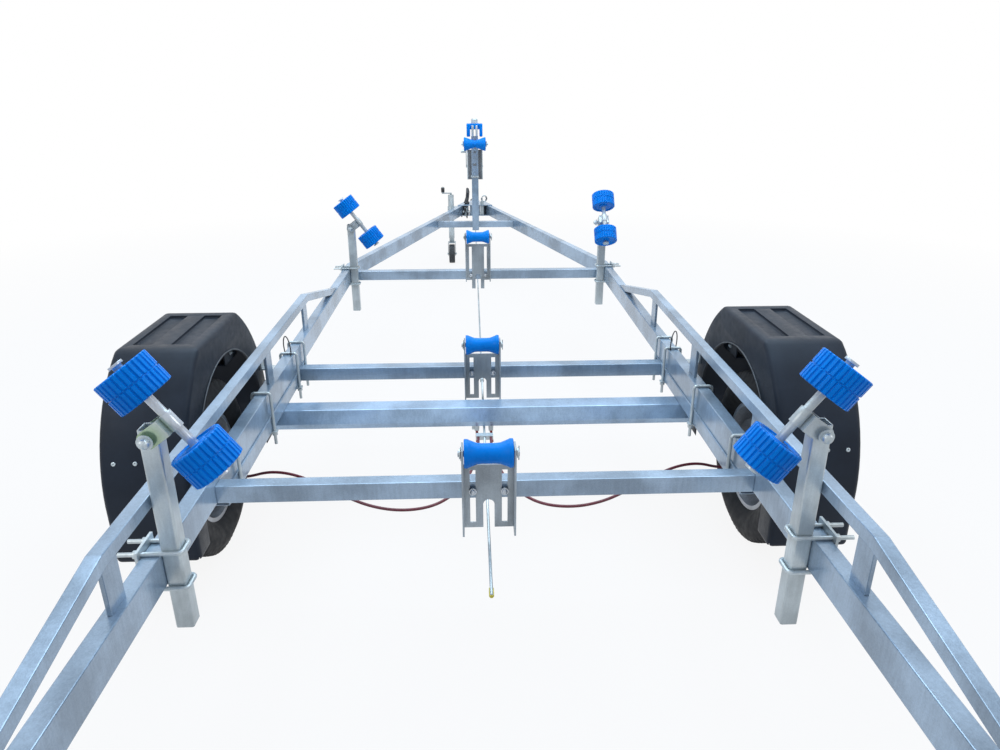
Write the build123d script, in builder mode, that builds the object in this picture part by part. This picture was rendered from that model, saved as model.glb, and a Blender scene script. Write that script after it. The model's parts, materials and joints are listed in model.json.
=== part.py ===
"""Single-axle boat trailer with a V drawbar, keel rollers and swivelling side rollers.

Millimetres. +X is the trailer's right, +Y points forward to the coupling, +Z is up.
The origin is on the ground, under the middle of the trailer's overall length and width.
"""
from build123d import *
import math
import os

os.makedirs("parts", exist_ok=True)

# ---- Overall sizes -------------------------------------------------------------------
overall_length = 6600.0
beam_top = 490.0
wheel_radius = 285.0
wheel_track = 1864.0
running_fit = 0.05
side_gap = 1.0

# ---- Main beams and drawbar ------------------------------------------------------------
beam_height = 80.0
beam_width = 40.0
beam_wall = 3.0
beam_gap = 1418.0
beam_rear_inset = 100.0
drawbar_tip_x = 75.6728
drawbar_reach = 2380.0
coupling_reach = 330.0

# ---- Cross tubes -----------------------------------------------------------------------
cross_height = 50.0
cross_depth = 42.0
cross_wall = 3.0
rear_cross_y = -1843.0
mid_cross_y = -858.0
front_cross_inset = 49.0
tie_inset = 840.0
tie_depth = 40.0
tie_height = 45.0
tie_drop = 22.0

# ---- Truss rails above the main beams -----------------------------------------------------
rail_size = 30.0
rail_wall = 2.5
rail_rise = 140.0
rail_rear_inset = 50.0
rail_rear_slope_length = 750.0
rail_front_inset = 540.0
rail_front_slope_length = 640.0
strut_depth = 60.0
strut_thickness = 10.0
strut_count = 4

# ---- Axle rails, axle and brakes ------------------------------------------------------------
axle_rail_size = 50.0
axle_rail_wall = 3.0
axle_rail_length = 1010.0
axle_rail_nose = 50.0
axle_y = -1130.0
axle_top_width = 74.0
axle_mid_width = 110.0
axle_bottom_width = 86.0
axle_upper_drop = 48.0
axle_height = 70.0
axle_wall = 4.0
axle_overhang = 41.0
wheel_y = -1425.0
arm_thickness = 40.0
arm_width = 70.0
stub_radius = 20.0
backplate_radius = 122.0
backplate_thickness = 5.0
backplate_stand_off = 50.0
drum_radius = 116.0
drum_depth = 60.0
drum_wall = 9.0
drum_gap = 5.0

# ---- Wheels ----------------------------------------------------------------------------------
tyre_width = 176.0
tyre_shoulder = 18.0
rim_radius = 168.0
rim_width = 128.0
rim_wall = 4.0
rim_lip = 10.0
wheel_disc_thickness = 6.0
hub_radius = 32.0
hub_reach = 40.0
hand_hole_radius = 14.0
hand_hole_circle = 118.0
hand_hole_count = 12
wheel_bolt_circle = 98.0
wheel_bolt_radius = 9.0
wheel_bolt_head = 10.0
wheel_bolt_count = 4

# ---- Fenders -----------------------------------------------------------------------------------
fender_width = 240.0
fender_centre_x = 942.0
fender_y = -1350.0
fender_z = 305.0
fender_wall = 5.0
fender_crown = 420.0
fender_flat = 375.0
fender_bulge_y = 345.0
fender_bulge_z = 262.0
fender_half_length = 412.0
fender_skirt = 150.0
fender_arch_radius = 330.0
bracket_bar_width = 40.0
bracket_bar_thickness = 6.0
bracket_bar_y = 372.0
bracket_tab_height = 60.0

# ---- Side posts, swivels and side rollers ----------------------------------------------------------
rear_post_y = -2180.0
front_post_inset = 120.0
rear_left_post_rise = 293.0
rear_right_post_rise = 277.0
front_left_post_rise = 243.0
front_right_post_rise = 262.0
post_size = 40.0
post_wall = 3.0
post_corner = 5.0
rear_left_post_length = 488.0
rear_right_post_length = 512.0
front_post_length = 482.0
pivot_below_top = 19.0
pivot_radius = 6.0
spindle_offset = 54.0
spindle_radius = 10.0
spindle_tilt = 54.0
spindle_half_length = 146.0
ear_thickness = 5.0
ear_gap = 1.0
ear_half_width = 20.0
sleeve_wall = 4.0
side_roller_radius = 60.0
side_roller_length = 74.0
side_roller_spread = 204.0
spindle_nut_radius = 16.0
spindle_nut_length = 6.0
clamp_rod_radius = 5.0
clamp_plate_height = 116.0
clamp_plate_thickness = 6.0
clamp_plate_margin = 12.0
rod_margin = 4.0
nut_radius = 9.0
nut_length = 9.0
rod_end_length = 42.0

# ---- Keel rollers and their brackets ----------------------------------------------------------------
rear_keel_rise = 65.0
mid_keel_rise = 17.0
front_keel_rise = 165.0
rear_keel_plate_drop = 232.0
mid_keel_plate_drop = 229.0
front_keel_plate_drop = 298.0
keel_roller_length = 126.0
keel_roller_end_radius = 37.5
keel_roller_waist_radius = 27.0
keel_roller_rim = 10.0
keel_pin_radius = 8.0
keel_pin_overhang = 9.0
keel_roller_side_gap = 2.0
keel_plate_thickness = 5.0
keel_flange_depth = 50.0
keel_axis_behind_plate = 25.0
keel_ear_above_pin = 20.0
keel_plate_clearance = 6.0
keel_slot_width = 15.0
keel_slot_x = 42.0
keel_notch_width = 30.0
keel_notch_height = 70.0
front_keel_leg_height = 50.0
front_keel_leg_width = 20.0
keel_bolt_radius = 9.0
keel_bolt_head = 6.0

# ---- Winch post, winch and bow stop -------------------------------------------------------------------
winch_post_size = 50.0
winch_post_wall = 3.0
winch_post_rise = 605.0
winch_plate_thickness = 5.0
winch_plate_spread = 105.0
winch_plate_rise = 294.0
winch_plate_height = 215.0
winch_plate_reach = 110.0
winch_axis_rise = 385.0
winch_axis_reach = 62.0
winch_drum_radius = 22.0
winch_cheek_radius = 46.0
winch_cheek_thickness = 4.0
winch_shaft_radius = 8.0
winch_side_gap = 4.0
handle_arm_length = 120.0
handle_arm_width = 20.0
handle_arm_thickness = 6.0
handle_grip_radius = 12.0
handle_grip_length = 36.0
bow_roller_length = 158.0
bow_roller_end_radius = 48.0
bow_roller_waist_radius = 24.0
bow_roller_rise = 557.0
bow_roller_behind_post = 75.0
bow_pin_radius = 8.0
bow_arm_thickness = 6.0
bow_arm_height = 36.0
bow_stop_width = 116.0
bow_stop_height = 90.0
bow_stop_depth = 60.0
bow_stop_vee = 26.0
bow_cap_height = 34.0
bow_cap_radius = 24.0

# ---- Coupling and overrun device ---------------------------------------------------------------------------
coupling_box_width = 88.0
coupling_box_length = 290.0
coupling_plate_thickness = 6.0
coupling_plate_length = 190.0
draw_tube_radius = 25.0
draw_tube_length = 90.0
coupling_head_length = 150.0
coupling_head_width = 76.0
coupling_head_height = 62.0
ball_radius = 25.0
ball_clearance = 0.3
ball_inset = 52.0
coupling_grip_length = 110.0
coupling_grip_width = 30.0
coupling_grip_rise = 46.0
lever_width = 30.0
lever_thickness = 14.0
lever_x = -62.0
lever_height = 112.0
lever_lean = 70.0
lever_bow = 14.0

# ---- Jockey wheel -------------------------------------------------------------------------------------------
jockey_x = -205.0
jockey_inset = 155.0
jockey_outer_radius = 24.0
jockey_outer_wall = 2.5
jockey_outer_bottom = 210.0
jockey_outer_length = 368.0
jockey_slide_gap = 0.3
jockey_inner_length = 300.0
jockey_fork_top = 178.0
jockey_wheel_radius = 80.0
jockey_wheel_width = 48.0
jockey_caster = 40.0
jockey_fork_width = 66.0
jockey_fork_thickness = 4.0
jockey_axle_radius = 8.0
jockey_crank_length = 75.0
jockey_crank_rise = 18.0
jockey_knob_radius = 13.0
jockey_knob_height = 45.0
jockey_clamp_height = 60.0
jockey_clamp_wall = 6.0

# ---- Brake rod, equaliser and cables --------------------------------------------------------------------------
brake_rod_radius = 4.0
brake_rod_drop = 208.0
brake_rod_rear_y = -2100.0
brake_rod_joint_y = -700.0
brake_rod_front_drop = 105.0
brake_rod_joint_radius = 8.0
brake_rod_joint_length = 40.0
equaliser_y = -1240.0
equaliser_width = 60.0
equaliser_depth = 24.0
equaliser_height = 8.0
cable_radius = 4.5

# ---- Rear light board ---------------------------------------------------------------------------------------------
board_length = 1700.0
board_height = 120.0
board_thickness = 40.0
lamp_width = 210.0
lamp_depth = 14.0
board_arm_size = 30.0
board_arm_inside = 300.0
plate_width = 520.0
plate_height = 110.0
plate_thickness = 2.0

# ---- Places worked out from the sizes -----------------------------------------------------------------------------
rear_end = -overall_length / 2
front_end = overall_length / 2
beam_bottom = beam_top - beam_height
beam_x = beam_gap / 2 + beam_width / 2
beam_inner = beam_gap / 2
beam_outer = beam_gap / 2 + beam_width
# the arms run straight from the beams to where they meet the coupling, whatever the gap between the beams
drawbar_angle = math.degrees(math.atan((beam_x - drawbar_tip_x) / drawbar_reach))
beam_rear_y = rear_end + beam_rear_inset
drawbar_front_y = front_end - coupling_reach
beam_front_y = drawbar_front_y - drawbar_reach
beam_length = beam_front_y - beam_rear_y
front_cross_y = beam_front_y - front_cross_inset
front_post_y = beam_front_y - front_post_inset
tie_y = drawbar_front_y - tie_inset
jockey_y = drawbar_front_y - jockey_inset
rail_rear_foot_y = beam_rear_y + rail_rear_inset
rail_rear_bend_y = rail_rear_foot_y + rail_rear_slope_length
rail_front_foot_y = beam_front_y - rail_front_inset
rail_front_bend_y = rail_front_foot_y - rail_front_slope_length
SIDES = (("left", -1), ("right", 1))


def save(block, name):
    """Label a finished piece and write it to its own file."""
    block.part.label = name
    export_step(block.part, f"parts/{name}.step")


def arm_centre(y):
    """Distance of a drawbar arm's middle line from the centre plane, at a station along Y."""
    return beam_x - (y - beam_front_y) * math.tan(math.radians(drawbar_angle))


def box_between(x_span, y_span, z_span, mode=Mode.ADD):
    """A block given by its low and high limits on each axis."""
    spans = (x_span, y_span, z_span)
    middle = [(low + high) / 2 for low, high in spans]
    sizes = [high - low for low, high in spans]
    with Locations(tuple(middle)):
        Box(*sizes, mode=mode)


def rod_along(axis, start, radius, length, mode=Mode.ADD):
    """A round bar from a start point, along +X, +Y or +Z (or back along it, for a negative length)."""
    normals = {"X": (1, 0, 0), "Y": (0, 1, 0), "Z": (0, 0, 1)}
    direction = Vector(*normals[axis]) * (1 if length > 0 else -1)
    with BuildSketch(Plane(origin=start, z_dir=direction)) as section:
        Circle(radius)
    extrude(section.sketch, amount=abs(length), mode=mode)


def u_bolt(start, bend_start, bend_end, end, radius):
    """A bent rod through four corners."""
    with BuildLine() as path:
        FilletPolyline(start, bend_start, bend_end, end, radius=radius + post_corner)
    with BuildSketch(Plane(origin=path.line @ 0, z_dir=path.line % 0)) as section:
        Circle(radius)
    sweep(section.sketch, path=path.line)


def square_tube(axis, middle, width, height, wall, length):
    """An open-ended tube centred on a point; width is level and height is along Z."""
    lengthways = {"X": (length, width, height), "Y": (width, length, height)}[axis]
    bore = {"X": (length, width - 2 * wall, height - 2 * wall),
            "Y": (width - 2 * wall, length, height - 2 * wall)}[axis]
    with Locations(middle):
        Box(*lengthways)
        Box(*bore, mode=Mode.SUBTRACT)


# ---- Main beams --------------------------------------------------------------------------
beam_middle_z = beam_top - beam_height / 2
for side, sign in SIDES:
    with BuildPart() as main_beam:
        middle = (sign * beam_x, (beam_rear_y + beam_front_y) / 2, beam_middle_z)
        square_tube("Y", middle, beam_width, beam_height, beam_wall, beam_length)
    save(main_beam, f"main_beam_{side}")

# ---- Drawbar arms, cut square to the trailer at both ends ---------------------------------
arm_half = beam_width / 2 / math.cos(math.radians(drawbar_angle))
arm_half_bore = (beam_width / 2 - beam_wall) / math.cos(math.radians(drawbar_angle))


def arm_outline(sign, half):
    """Four corners of a drawbar arm seen from above."""
    ends = (beam_front_y, drawbar_front_y)
    outer = [(sign * (arm_centre(y) + half), y) for y in ends]
    inner = [(sign * (arm_centre(y) - half), y) for y in reversed(ends)]
    return outer + inner


with BuildPart() as drawbar_arms:
    for side, sign in SIDES:
        with BuildSketch(Plane.XY.offset(beam_bottom)):
            with BuildLine():
                Polyline(*arm_outline(sign, arm_half), close=True)
            make_face()
        extrude(amount=beam_height)
        with BuildSketch(Plane.XY.offset(beam_bottom + beam_wall)):
            with BuildLine():
                Polyline(*arm_outline(sign, arm_half_bore), close=True)
            make_face()
        extrude(amount=beam_height - 2 * beam_wall, mode=Mode.SUBTRACT)
save(drawbar_arms, "drawbar_arms")

# ---- Cross tubes ---------------------------------------------------------------------------
mid_cross_length = 2 * (beam_x - axle_rail_size / 2)
CROSS_TUBES = (
    # name, y, middle z, length, depth, height
    ("rear_crossbeam", rear_cross_y, beam_bottom + cross_height / 2, beam_gap, cross_depth, cross_height),
    ("mid_crossbeam", mid_cross_y, beam_bottom - axle_rail_size / 2, mid_cross_length,
     axle_rail_size, axle_rail_size),
    ("front_crossbeam", front_cross_y, beam_bottom + cross_height / 2, beam_gap, axle_rail_size, cross_height),
)
for name, y, z, length, depth, height in CROSS_TUBES:
    with BuildPart() as cross_tube:
        square_tube("X", (0, y, z), depth, height, cross_wall, length)
    save(cross_tube, name)

tie_top = beam_top - tie_drop
tie_rear_y = tie_y - tie_depth / 2
tie_front_y = tie_y + tie_depth / 2


def tie_outline(rear, front):
    """Four corners of the drawbar tie, whose ends lie on the arms' inner faces."""
    right = [(arm_centre(y) - arm_half, y) for y in (rear, front)]
    left = [(-x, y) for x, y in reversed(right)]
    return right + left


with BuildPart() as drawbar_tie:
    with BuildSketch(Plane.XY.offset(tie_top - tie_height)):
        with BuildLine():
            Polyline(*tie_outline(tie_rear_y, tie_front_y), close=True)
        make_face()
    extrude(amount=tie_height)
    with BuildSketch(Plane.XY.offset(tie_top - tie_height + cross_wall)):
        with BuildLine():
            Polyline(*tie_outline(tie_rear_y + cross_wall, tie_front_y - cross_wall), close=True)
        make_face()
    extrude(amount=tie_height - 2 * cross_wall, mode=Mode.SUBTRACT)
save(drawbar_tie, "drawbar_tie")

# ---- Truss rails and their struts -----------------------------------------------------------
rail_top = beam_top + rail_rise
rear_slope = math.atan2(rail_rise, rail_rear_bend_y - rail_rear_foot_y)
front_slope = math.atan2(rail_rise, rail_front_foot_y - rail_front_bend_y)


def rail_line(depth):
    """The rail's bent line at a depth under its top face, from the rear foot to the front foot."""
    return [
        (rail_rear_foot_y + depth / math.sin(rear_slope), beam_top),
        (rail_rear_bend_y + depth * math.tan(rear_slope / 2), rail_top - depth),
        (rail_front_bend_y - depth * math.tan(front_slope / 2), rail_top - depth),
        (rail_front_foot_y - depth / math.sin(front_slope), beam_top),
    ]


first_strut_y = rail_rear_bend_y + strut_depth / 2 + rail_wall * 2
last_strut_y = rail_front_bend_y - strut_depth / 2 - rail_wall * 2
strut_step = (last_strut_y - first_strut_y) / (strut_count - 1)
for side, sign in SIDES:
    with BuildPart() as side_rail:
        with BuildSketch(Plane.YZ.offset(sign * beam_x)):
            with BuildLine():
                Polyline(*rail_line(0), *reversed(rail_line(rail_size)), close=True)
            make_face()
        extrude(amount=rail_size / 2, both=True)
        with BuildSketch(Plane.YZ.offset(sign * beam_x)):
            with BuildLine():
                Polyline(*rail_line(rail_wall), *reversed(rail_line(rail_size - rail_wall)), close=True)
            make_face()
        extrude(amount=rail_size / 2 - rail_wall, both=True, mode=Mode.SUBTRACT)
        for index in range(strut_count):
            strut_y = first_strut_y + index * strut_step
            box_between(
                (sign * beam_x - strut_thickness / 2, sign * beam_x + strut_thickness / 2),
                (strut_y - strut_depth / 2, strut_y + strut_depth / 2),
                (beam_top, rail_top - rail_size),
            )
    save(side_rail, f"side_rail_{side}")

# ---- Axle rails -----------------------------------------------------------------------------
axle_rail_front_y = mid_cross_y + axle_rail_size / 2 + axle_rail_nose
axle_rail_bottom = beam_bottom - axle_rail_size
for side, sign in SIDES:
    with BuildPart() as axle_rail:
        middle = (sign * beam_x, axle_rail_front_y - axle_rail_length / 2, beam_bottom - axle_rail_size / 2)
        square_tube("Y", middle, axle_rail_size, axle_rail_size, axle_rail_wall, axle_rail_length)
    save(axle_rail, f"axle_rail_{side}")

# ---- Axle, trailing arms and stub axles -----------------------------------------------------
axle_half_length = beam_outer + axle_overhang
axle_middle_z = axle_rail_bottom - axle_height / 2


def axle_outline(inset):
    """Six corners of the axle's section, at a wall's depth inside its faces."""
    right = [
        (axle_top_width / 2 - inset, axle_rail_bottom - inset),
        (axle_mid_width / 2 - inset, axle_rail_bottom - axle_upper_drop),
        (axle_bottom_width / 2 - inset, axle_rail_bottom - axle_height + inset),
    ]
    ahead = [(axle_y + offset, z) for offset, z in right]
    behind = [(axle_y - offset, z) for offset, z in reversed(right)]
    return ahead + behind


with BuildPart() as axle_tube:
    for inset, mode in ((0, Mode.ADD), (axle_wall, Mode.SUBTRACT)):
        with BuildSketch(Plane.YZ):
            with BuildLine():
                Polyline(*axle_outline(inset), close=True)
            make_face()
        extrude(amount=axle_half_length, both=True, mode=mode)
save(axle_tube, "axle_tube")

arm_outer_x = axle_half_length + arm_thickness
backplate_x = arm_outer_x + backplate_stand_off
drum_inner_x = backplate_x + backplate_thickness + drum_gap
wheel_face_x = drum_inner_x + drum_depth
stub_length = wheel_face_x - arm_outer_x
with BuildPart() as trailing_arms:
    for side, sign in SIDES:
        with BuildSketch(Plane.YZ.offset(sign * (axle_half_length + arm_thickness / 2))):
            with BuildLine():
                Line((axle_y, axle_middle_z), (wheel_y, wheel_radius))
            trace(line_width=arm_width)
            with Locations((axle_y, axle_middle_z), (wheel_y, wheel_radius)):
                Circle(arm_width / 2)
        extrude(amount=arm_thickness / 2, both=True)
        start = (sign * arm_outer_x, wheel_y, wheel_radius)
        rod_along("X", start, stub_radius, sign * stub_length)
save(trailing_arms, "trailing_arms")

with BuildPart() as brake_backplates:
    for side, sign in SIDES:
        start = (sign * backplate_x, wheel_y, wheel_radius)
        rod_along("X", start, backplate_radius, sign * backplate_thickness)
        rod_along("X", start, stub_radius, sign * backplate_thickness, Mode.SUBTRACT)
save(brake_backplates, "brake_backplates")

# ---- Wheels: drum with its hub, rim with its disc, tyre --------------------------------------
tyre_x = wheel_track / 2
for side, sign in SIDES:
    with BuildPart() as brake_drum:
        start = (sign * drum_inner_x, wheel_y, wheel_radius)
        face = (sign * (wheel_face_x - drum_wall), wheel_y, wheel_radius)
        rod_along("X", start, drum_radius, sign * drum_depth)
        rod_along("X", start, drum_radius - drum_wall, sign * (drum_depth - drum_wall), Mode.SUBTRACT)
        rod_along("X", start, hub_radius, sign * (drum_depth + hub_reach))
        rod_along("X", start, stub_radius + running_fit, sign * (drum_depth + side_gap), Mode.SUBTRACT)
    save(brake_drum, f"brake_drum_{side}")

    rim_outline = [
        (-rim_width / 2, rim_radius - rim_wall),
        (-rim_width / 2, rim_radius + rim_lip),
        (-rim_width / 2 + rim_wall, rim_radius + rim_lip),
        (-rim_width / 2 + rim_wall, rim_radius),
        (rim_width / 2 - rim_wall, rim_radius),
        (rim_width / 2 - rim_wall, rim_radius + rim_lip),
        (rim_width / 2, rim_radius + rim_lip),
        (rim_width / 2, rim_radius - rim_wall),
    ]
    wheel_axis = Axis((0, wheel_y, wheel_radius), (1, 0, 0))
    wheel_section = Plane(origin=(sign * tyre_x, wheel_y, wheel_radius), x_dir=(1, 0, 0), z_dir=(0, -1, 0))
    with BuildPart() as rim:
        with BuildSketch(wheel_section):
            with BuildLine():
                Polyline(*rim_outline, close=True)
            make_face()
        revolve(axis=wheel_axis)
        face = (sign * wheel_face_x, wheel_y, wheel_radius)
        rod_along("X", face, rim_radius - rim_wall / 2, sign * wheel_disc_thickness)
        rod_along("X", face, hub_radius, sign * wheel_disc_thickness, Mode.SUBTRACT)
        disc_plane = Plane(origin=face, x_dir=(0, 1, 0), z_dir=(sign, 0, 0))
        with BuildSketch(disc_plane):
            with PolarLocations(hand_hole_circle, hand_hole_count):
                Circle(hand_hole_radius)
        extrude(amount=wheel_disc_thickness, mode=Mode.SUBTRACT)
        with BuildSketch(disc_plane.offset(wheel_disc_thickness)):
            with PolarLocations(wheel_bolt_circle / 2, wheel_bolt_count, start_angle=45):
                RegularPolygon(wheel_bolt_radius, 6)
        extrude(amount=wheel_bolt_head)
    save(rim, f"rim_{side}")

    bead = rim_width / 2 - rim_wall
    bead_top = rim_radius + rim_lip + side_gap
    half_tyre = tyre_width / 2
    tread = wheel_radius
    with BuildPart() as tyre:
        with BuildSketch(wheel_section):
            with BuildLine():
                Line((-bead, bead_top), (-bead, rim_radius))
                Line((-bead, rim_radius), (bead, rim_radius))
                Line((bead, rim_radius), (bead, bead_top))
                ThreePointArc(
                    (bead, bead_top),
                    (half_tyre, (rim_radius + tread) / 2),
                    (half_tyre - tyre_shoulder, tread - tyre_shoulder / 2),
                )
                Line((half_tyre - tyre_shoulder, tread - tyre_shoulder / 2), (half_tyre - 2 * tyre_shoulder, tread))
                Line((half_tyre - 2 * tyre_shoulder, tread), (2 * tyre_shoulder - half_tyre, tread))
                Line((2 * tyre_shoulder - half_tyre, tread), (tyre_shoulder - half_tyre, tread - tyre_shoulder / 2))
                ThreePointArc(
                    (tyre_shoulder - half_tyre, tread - tyre_shoulder / 2),
                    (-half_tyre, (rim_radius + tread) / 2),
                    (-bead, bead_top),
                )
            make_face()
        revolve(axis=wheel_axis)
    save(tyre, f"tyre_{side}")

# ---- Fenders ---------------------------------------------------------------------------------


def fender_outline(inset):
    """Corners of a fender seen from the side, relative to its arch's centre, inside its skin."""
    crown = (fender_flat / 2 - inset / 2, fender_crown - inset)
    bulge = (fender_bulge_y - inset, fender_bulge_z - inset)
    hip = (fender_half_length - inset, 0)
    skirt = (fender_half_length - inset, -fender_skirt)
    return crown, bulge, hip, skirt


fender_inner_x = fender_centre_x - fender_width / 2
for side, sign in SIDES:
    with BuildPart() as fender:
        for inset, mode in ((0, Mode.ADD), (fender_wall, Mode.SUBTRACT)):
            crown, bulge, hip, skirt = fender_outline(inset)
            middle_plane = Plane(origin=(sign * fender_centre_x, fender_y, fender_z), x_dir=(0, 1, 0),
                                 z_dir=(1, 0, 0))
            with BuildSketch(middle_plane):
                with BuildLine():
                    Line((-crown[0], crown[1]), crown)
                    ThreePointArc(crown, bulge, hip)
                    Line(hip, skirt)
                    Line(skirt, (-skirt[0], skirt[1]))
                    Line((-skirt[0], skirt[1]), (-hip[0], hip[1]))
                    ThreePointArc((-hip[0], hip[1]), (-bulge[0], bulge[1]), (-crown[0], crown[1]))
                make_face()
            extrude(amount=fender_width / 2 - inset, both=True, mode=mode)
        box_between(
            (sign * fender_centre_x - fender_width / 2 + fender_wall,
             sign * fender_centre_x + fender_width / 2 - fender_wall),
            (fender_y - fender_half_length + fender_wall, fender_y + fender_half_length - fender_wall),
            (fender_z - fender_skirt - fender_wall, fender_z),
            Mode.SUBTRACT,
        )
        arch_start = (sign * fender_centre_x - fender_width, fender_y, fender_z)
        rod_along("X", arch_start, fender_arch_radius, 2 * fender_width, Mode.SUBTRACT)
        box_between(
            (sign * fender_centre_x - fender_width, sign * fender_centre_x + fender_width),
            (fender_y - fender_arch_radius, fender_y + fender_arch_radius),
            (fender_z - fender_arch_radius, fender_z),
            Mode.SUBTRACT,
        )
    save(fender, f"fender_{side}")

bracket_bar_z = beam_middle_z
with BuildPart() as fender_brackets:
    for side, sign in SIDES:
        for end in (-1, 1):
            bar_y = fender_y + end * bracket_bar_y
            x_low, x_high = sorted((sign * beam_outer, sign * fender_inner_x))
            tab_low, tab_high = sorted((sign * fender_inner_x, sign * (fender_inner_x - bracket_bar_thickness)))
            foot_low, foot_high = sorted((sign * beam_outer, sign * (beam_outer + bracket_bar_thickness)))
            y_span = (bar_y - bracket_bar_width / 2, bar_y + bracket_bar_width / 2)
            box_between((x_low, x_high), y_span, (bracket_bar_z, bracket_bar_z + bracket_bar_thickness))
            box_between((tab_low, tab_high), y_span, (bracket_bar_z, bracket_bar_z + bracket_tab_height))
            box_between((foot_low, foot_high), y_span,
                        (bracket_bar_z - bracket_bar_width / 2, bracket_bar_z + bracket_bar_thickness))
save(fender_brackets, "fender_brackets")

# ---- Side posts, their swivel brackets and side rollers -----------------------------------------
post_x = beam_inner - post_size / 2
POSTS = (
    # name, side sign, y, top, direction in which the bracket leans: along X or along Y, length
    ("rear_left", -1, rear_post_y, beam_top + rear_left_post_rise, "X", rear_left_post_length),
    ("rear_right", 1, rear_post_y, beam_top + rear_right_post_rise, "X", rear_right_post_length),
    ("front_left", -1, front_post_y, beam_top + front_left_post_rise, "X", front_post_length),
    ("front_right", 1, front_post_y, beam_top + front_right_post_rise, "Y", front_post_length),
)


def swivel_plane(side_sign, y, top, lean):
    """Plane whose origin is the pivot; its x runs to the spindle and its y runs down the spindle."""
    tilt = math.radians(spindle_tilt)
    if lean == "X":
        level = Vector(-side_sign, 0, 0)
    else:
        level = Vector(0, -1, 0)
    down_spindle = level * math.cos(tilt) - Vector(0, 0, math.sin(tilt))
    to_spindle = level * math.sin(tilt) + Vector(0, 0, math.cos(tilt))
    pivot = Vector(side_sign * post_x, y, top - pivot_below_top)
    return Plane(origin=pivot, x_dir=to_spindle, z_dir=to_spindle.cross(down_spindle))


with BuildPart() as side_posts:
    for name, side_sign, y, top, lean, length in POSTS:
        pivot = swivel_plane(side_sign, y, top, lean)
        with BuildSketch(Plane.XY.offset(top - length)):
            with Locations((side_sign * post_x, y)):
                RectangleRounded(post_size, post_size, post_corner)
                Rectangle(post_size - 2 * post_wall, post_size - 2 * post_wall, mode=Mode.SUBTRACT)
        extrude(amount=length)
        with BuildSketch(pivot):
            Circle(pivot_radius)
        extrude(amount=post_size, both=True, mode=Mode.SUBTRACT)
save(side_posts, "side_posts")

ear_inner = post_size / 2 + ear_gap
ear_outer = ear_inner + ear_thickness
web_outer = spindle_offset - spindle_radius
for name, side_sign, y, top, lean, length in POSTS:
    pivot = swivel_plane(side_sign, y, top, lean)
    spindle_plane = Plane(origin=pivot.from_local_coords(Vector(spindle_offset, 0, 0)),
                          x_dir=pivot.x_dir, z_dir=pivot.y_dir)
    with BuildPart() as swivel_bracket:
        for start, end in ((ear_inner, ear_outer), (-ear_outer, -ear_inner)):
            with BuildSketch(pivot.offset(start)):
                with Locations((web_outer / 2, 0)):
                    Rectangle(web_outer, 2 * ear_half_width)
                Circle(ear_half_width)
            extrude(amount=end - start)
        with BuildSketch(pivot.offset(-ear_outer)):
            with Locations((web_outer - ear_thickness / 2, 0)):
                Rectangle(ear_thickness, 2 * ear_half_width)
        extrude(amount=2 * ear_outer)
        with BuildSketch(pivot.offset(-ear_outer - nut_length)):
            Circle(pivot_radius - running_fit)
        extrude(amount=2 * (ear_outer + nut_length))
        with BuildSketch(pivot.offset(ear_outer)):
            RegularPolygon(nut_radius, 6)
        extrude(amount=nut_length)
        with BuildSketch(pivot.offset(-ear_outer)):
            RegularPolygon(nut_radius, 6)
        extrude(amount=-nut_length)
        with BuildSketch(spindle_plane):
            Circle(spindle_radius)
        extrude(amount=spindle_half_length, both=True)
        with BuildSketch(spindle_plane):
            Circle(spindle_radius + sleeve_wall)
        extrude(amount=ear_half_width, both=True)
        for end in (-1, 1):
            with BuildSketch(spindle_plane.offset(end * spindle_half_length)):
                Circle(spindle_nut_radius)
            extrude(amount=end * spindle_nut_length)
    save(swivel_bracket, f"swivel_bracket_{name}")

    with BuildPart() as side_rollers:
        for end in (-1, 1):
            with BuildSketch(spindle_plane.offset(end * side_roller_spread / 2)):
                Circle(side_roller_radius)
                Circle(spindle_radius + running_fit, mode=Mode.SUBTRACT)
            extrude(amount=side_roller_length / 2, both=True)
    save(side_rollers, f"side_rollers_{name}")

# ---- Clamps: U-bolts round the posts and the axle rails -----------------------------------------
plate_inner_x = beam_outer
plate_outer_x = beam_outer + clamp_plate_thickness
rod_half_spread = post_size / 2 + clamp_rod_radius
with BuildPart() as post_clamps:
    for name, side_sign, y, top, lean, length in POSTS:
        low, high = sorted((side_sign * plate_inner_x, side_sign * plate_outer_x))
        y_margin = rod_half_spread + clamp_rod_radius + clamp_plate_margin
        box_between((low, high), (y - y_margin, y + y_margin),
                    (beam_middle_z - clamp_plate_height / 2, beam_middle_z + clamp_plate_height / 2))
        for level in (beam_top + clamp_rod_radius, beam_bottom - clamp_rod_radius):
            bend_x = side_sign * (post_x - post_size / 2 - clamp_rod_radius)
            end_x = side_sign * (plate_outer_x + rod_end_length)
            legs = (y - rod_half_spread, y + rod_half_spread)
            u_bolt((end_x, legs[0], level), (bend_x, legs[0], level),
                   (bend_x, legs[1], level), (end_x, legs[1], level), clamp_rod_radius)
            for leg_y in legs:
                rod_along("X", (side_sign * plate_outer_x, leg_y, level), nut_radius, side_sign * nut_length)
save(post_clamps, "post_clamps")


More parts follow.
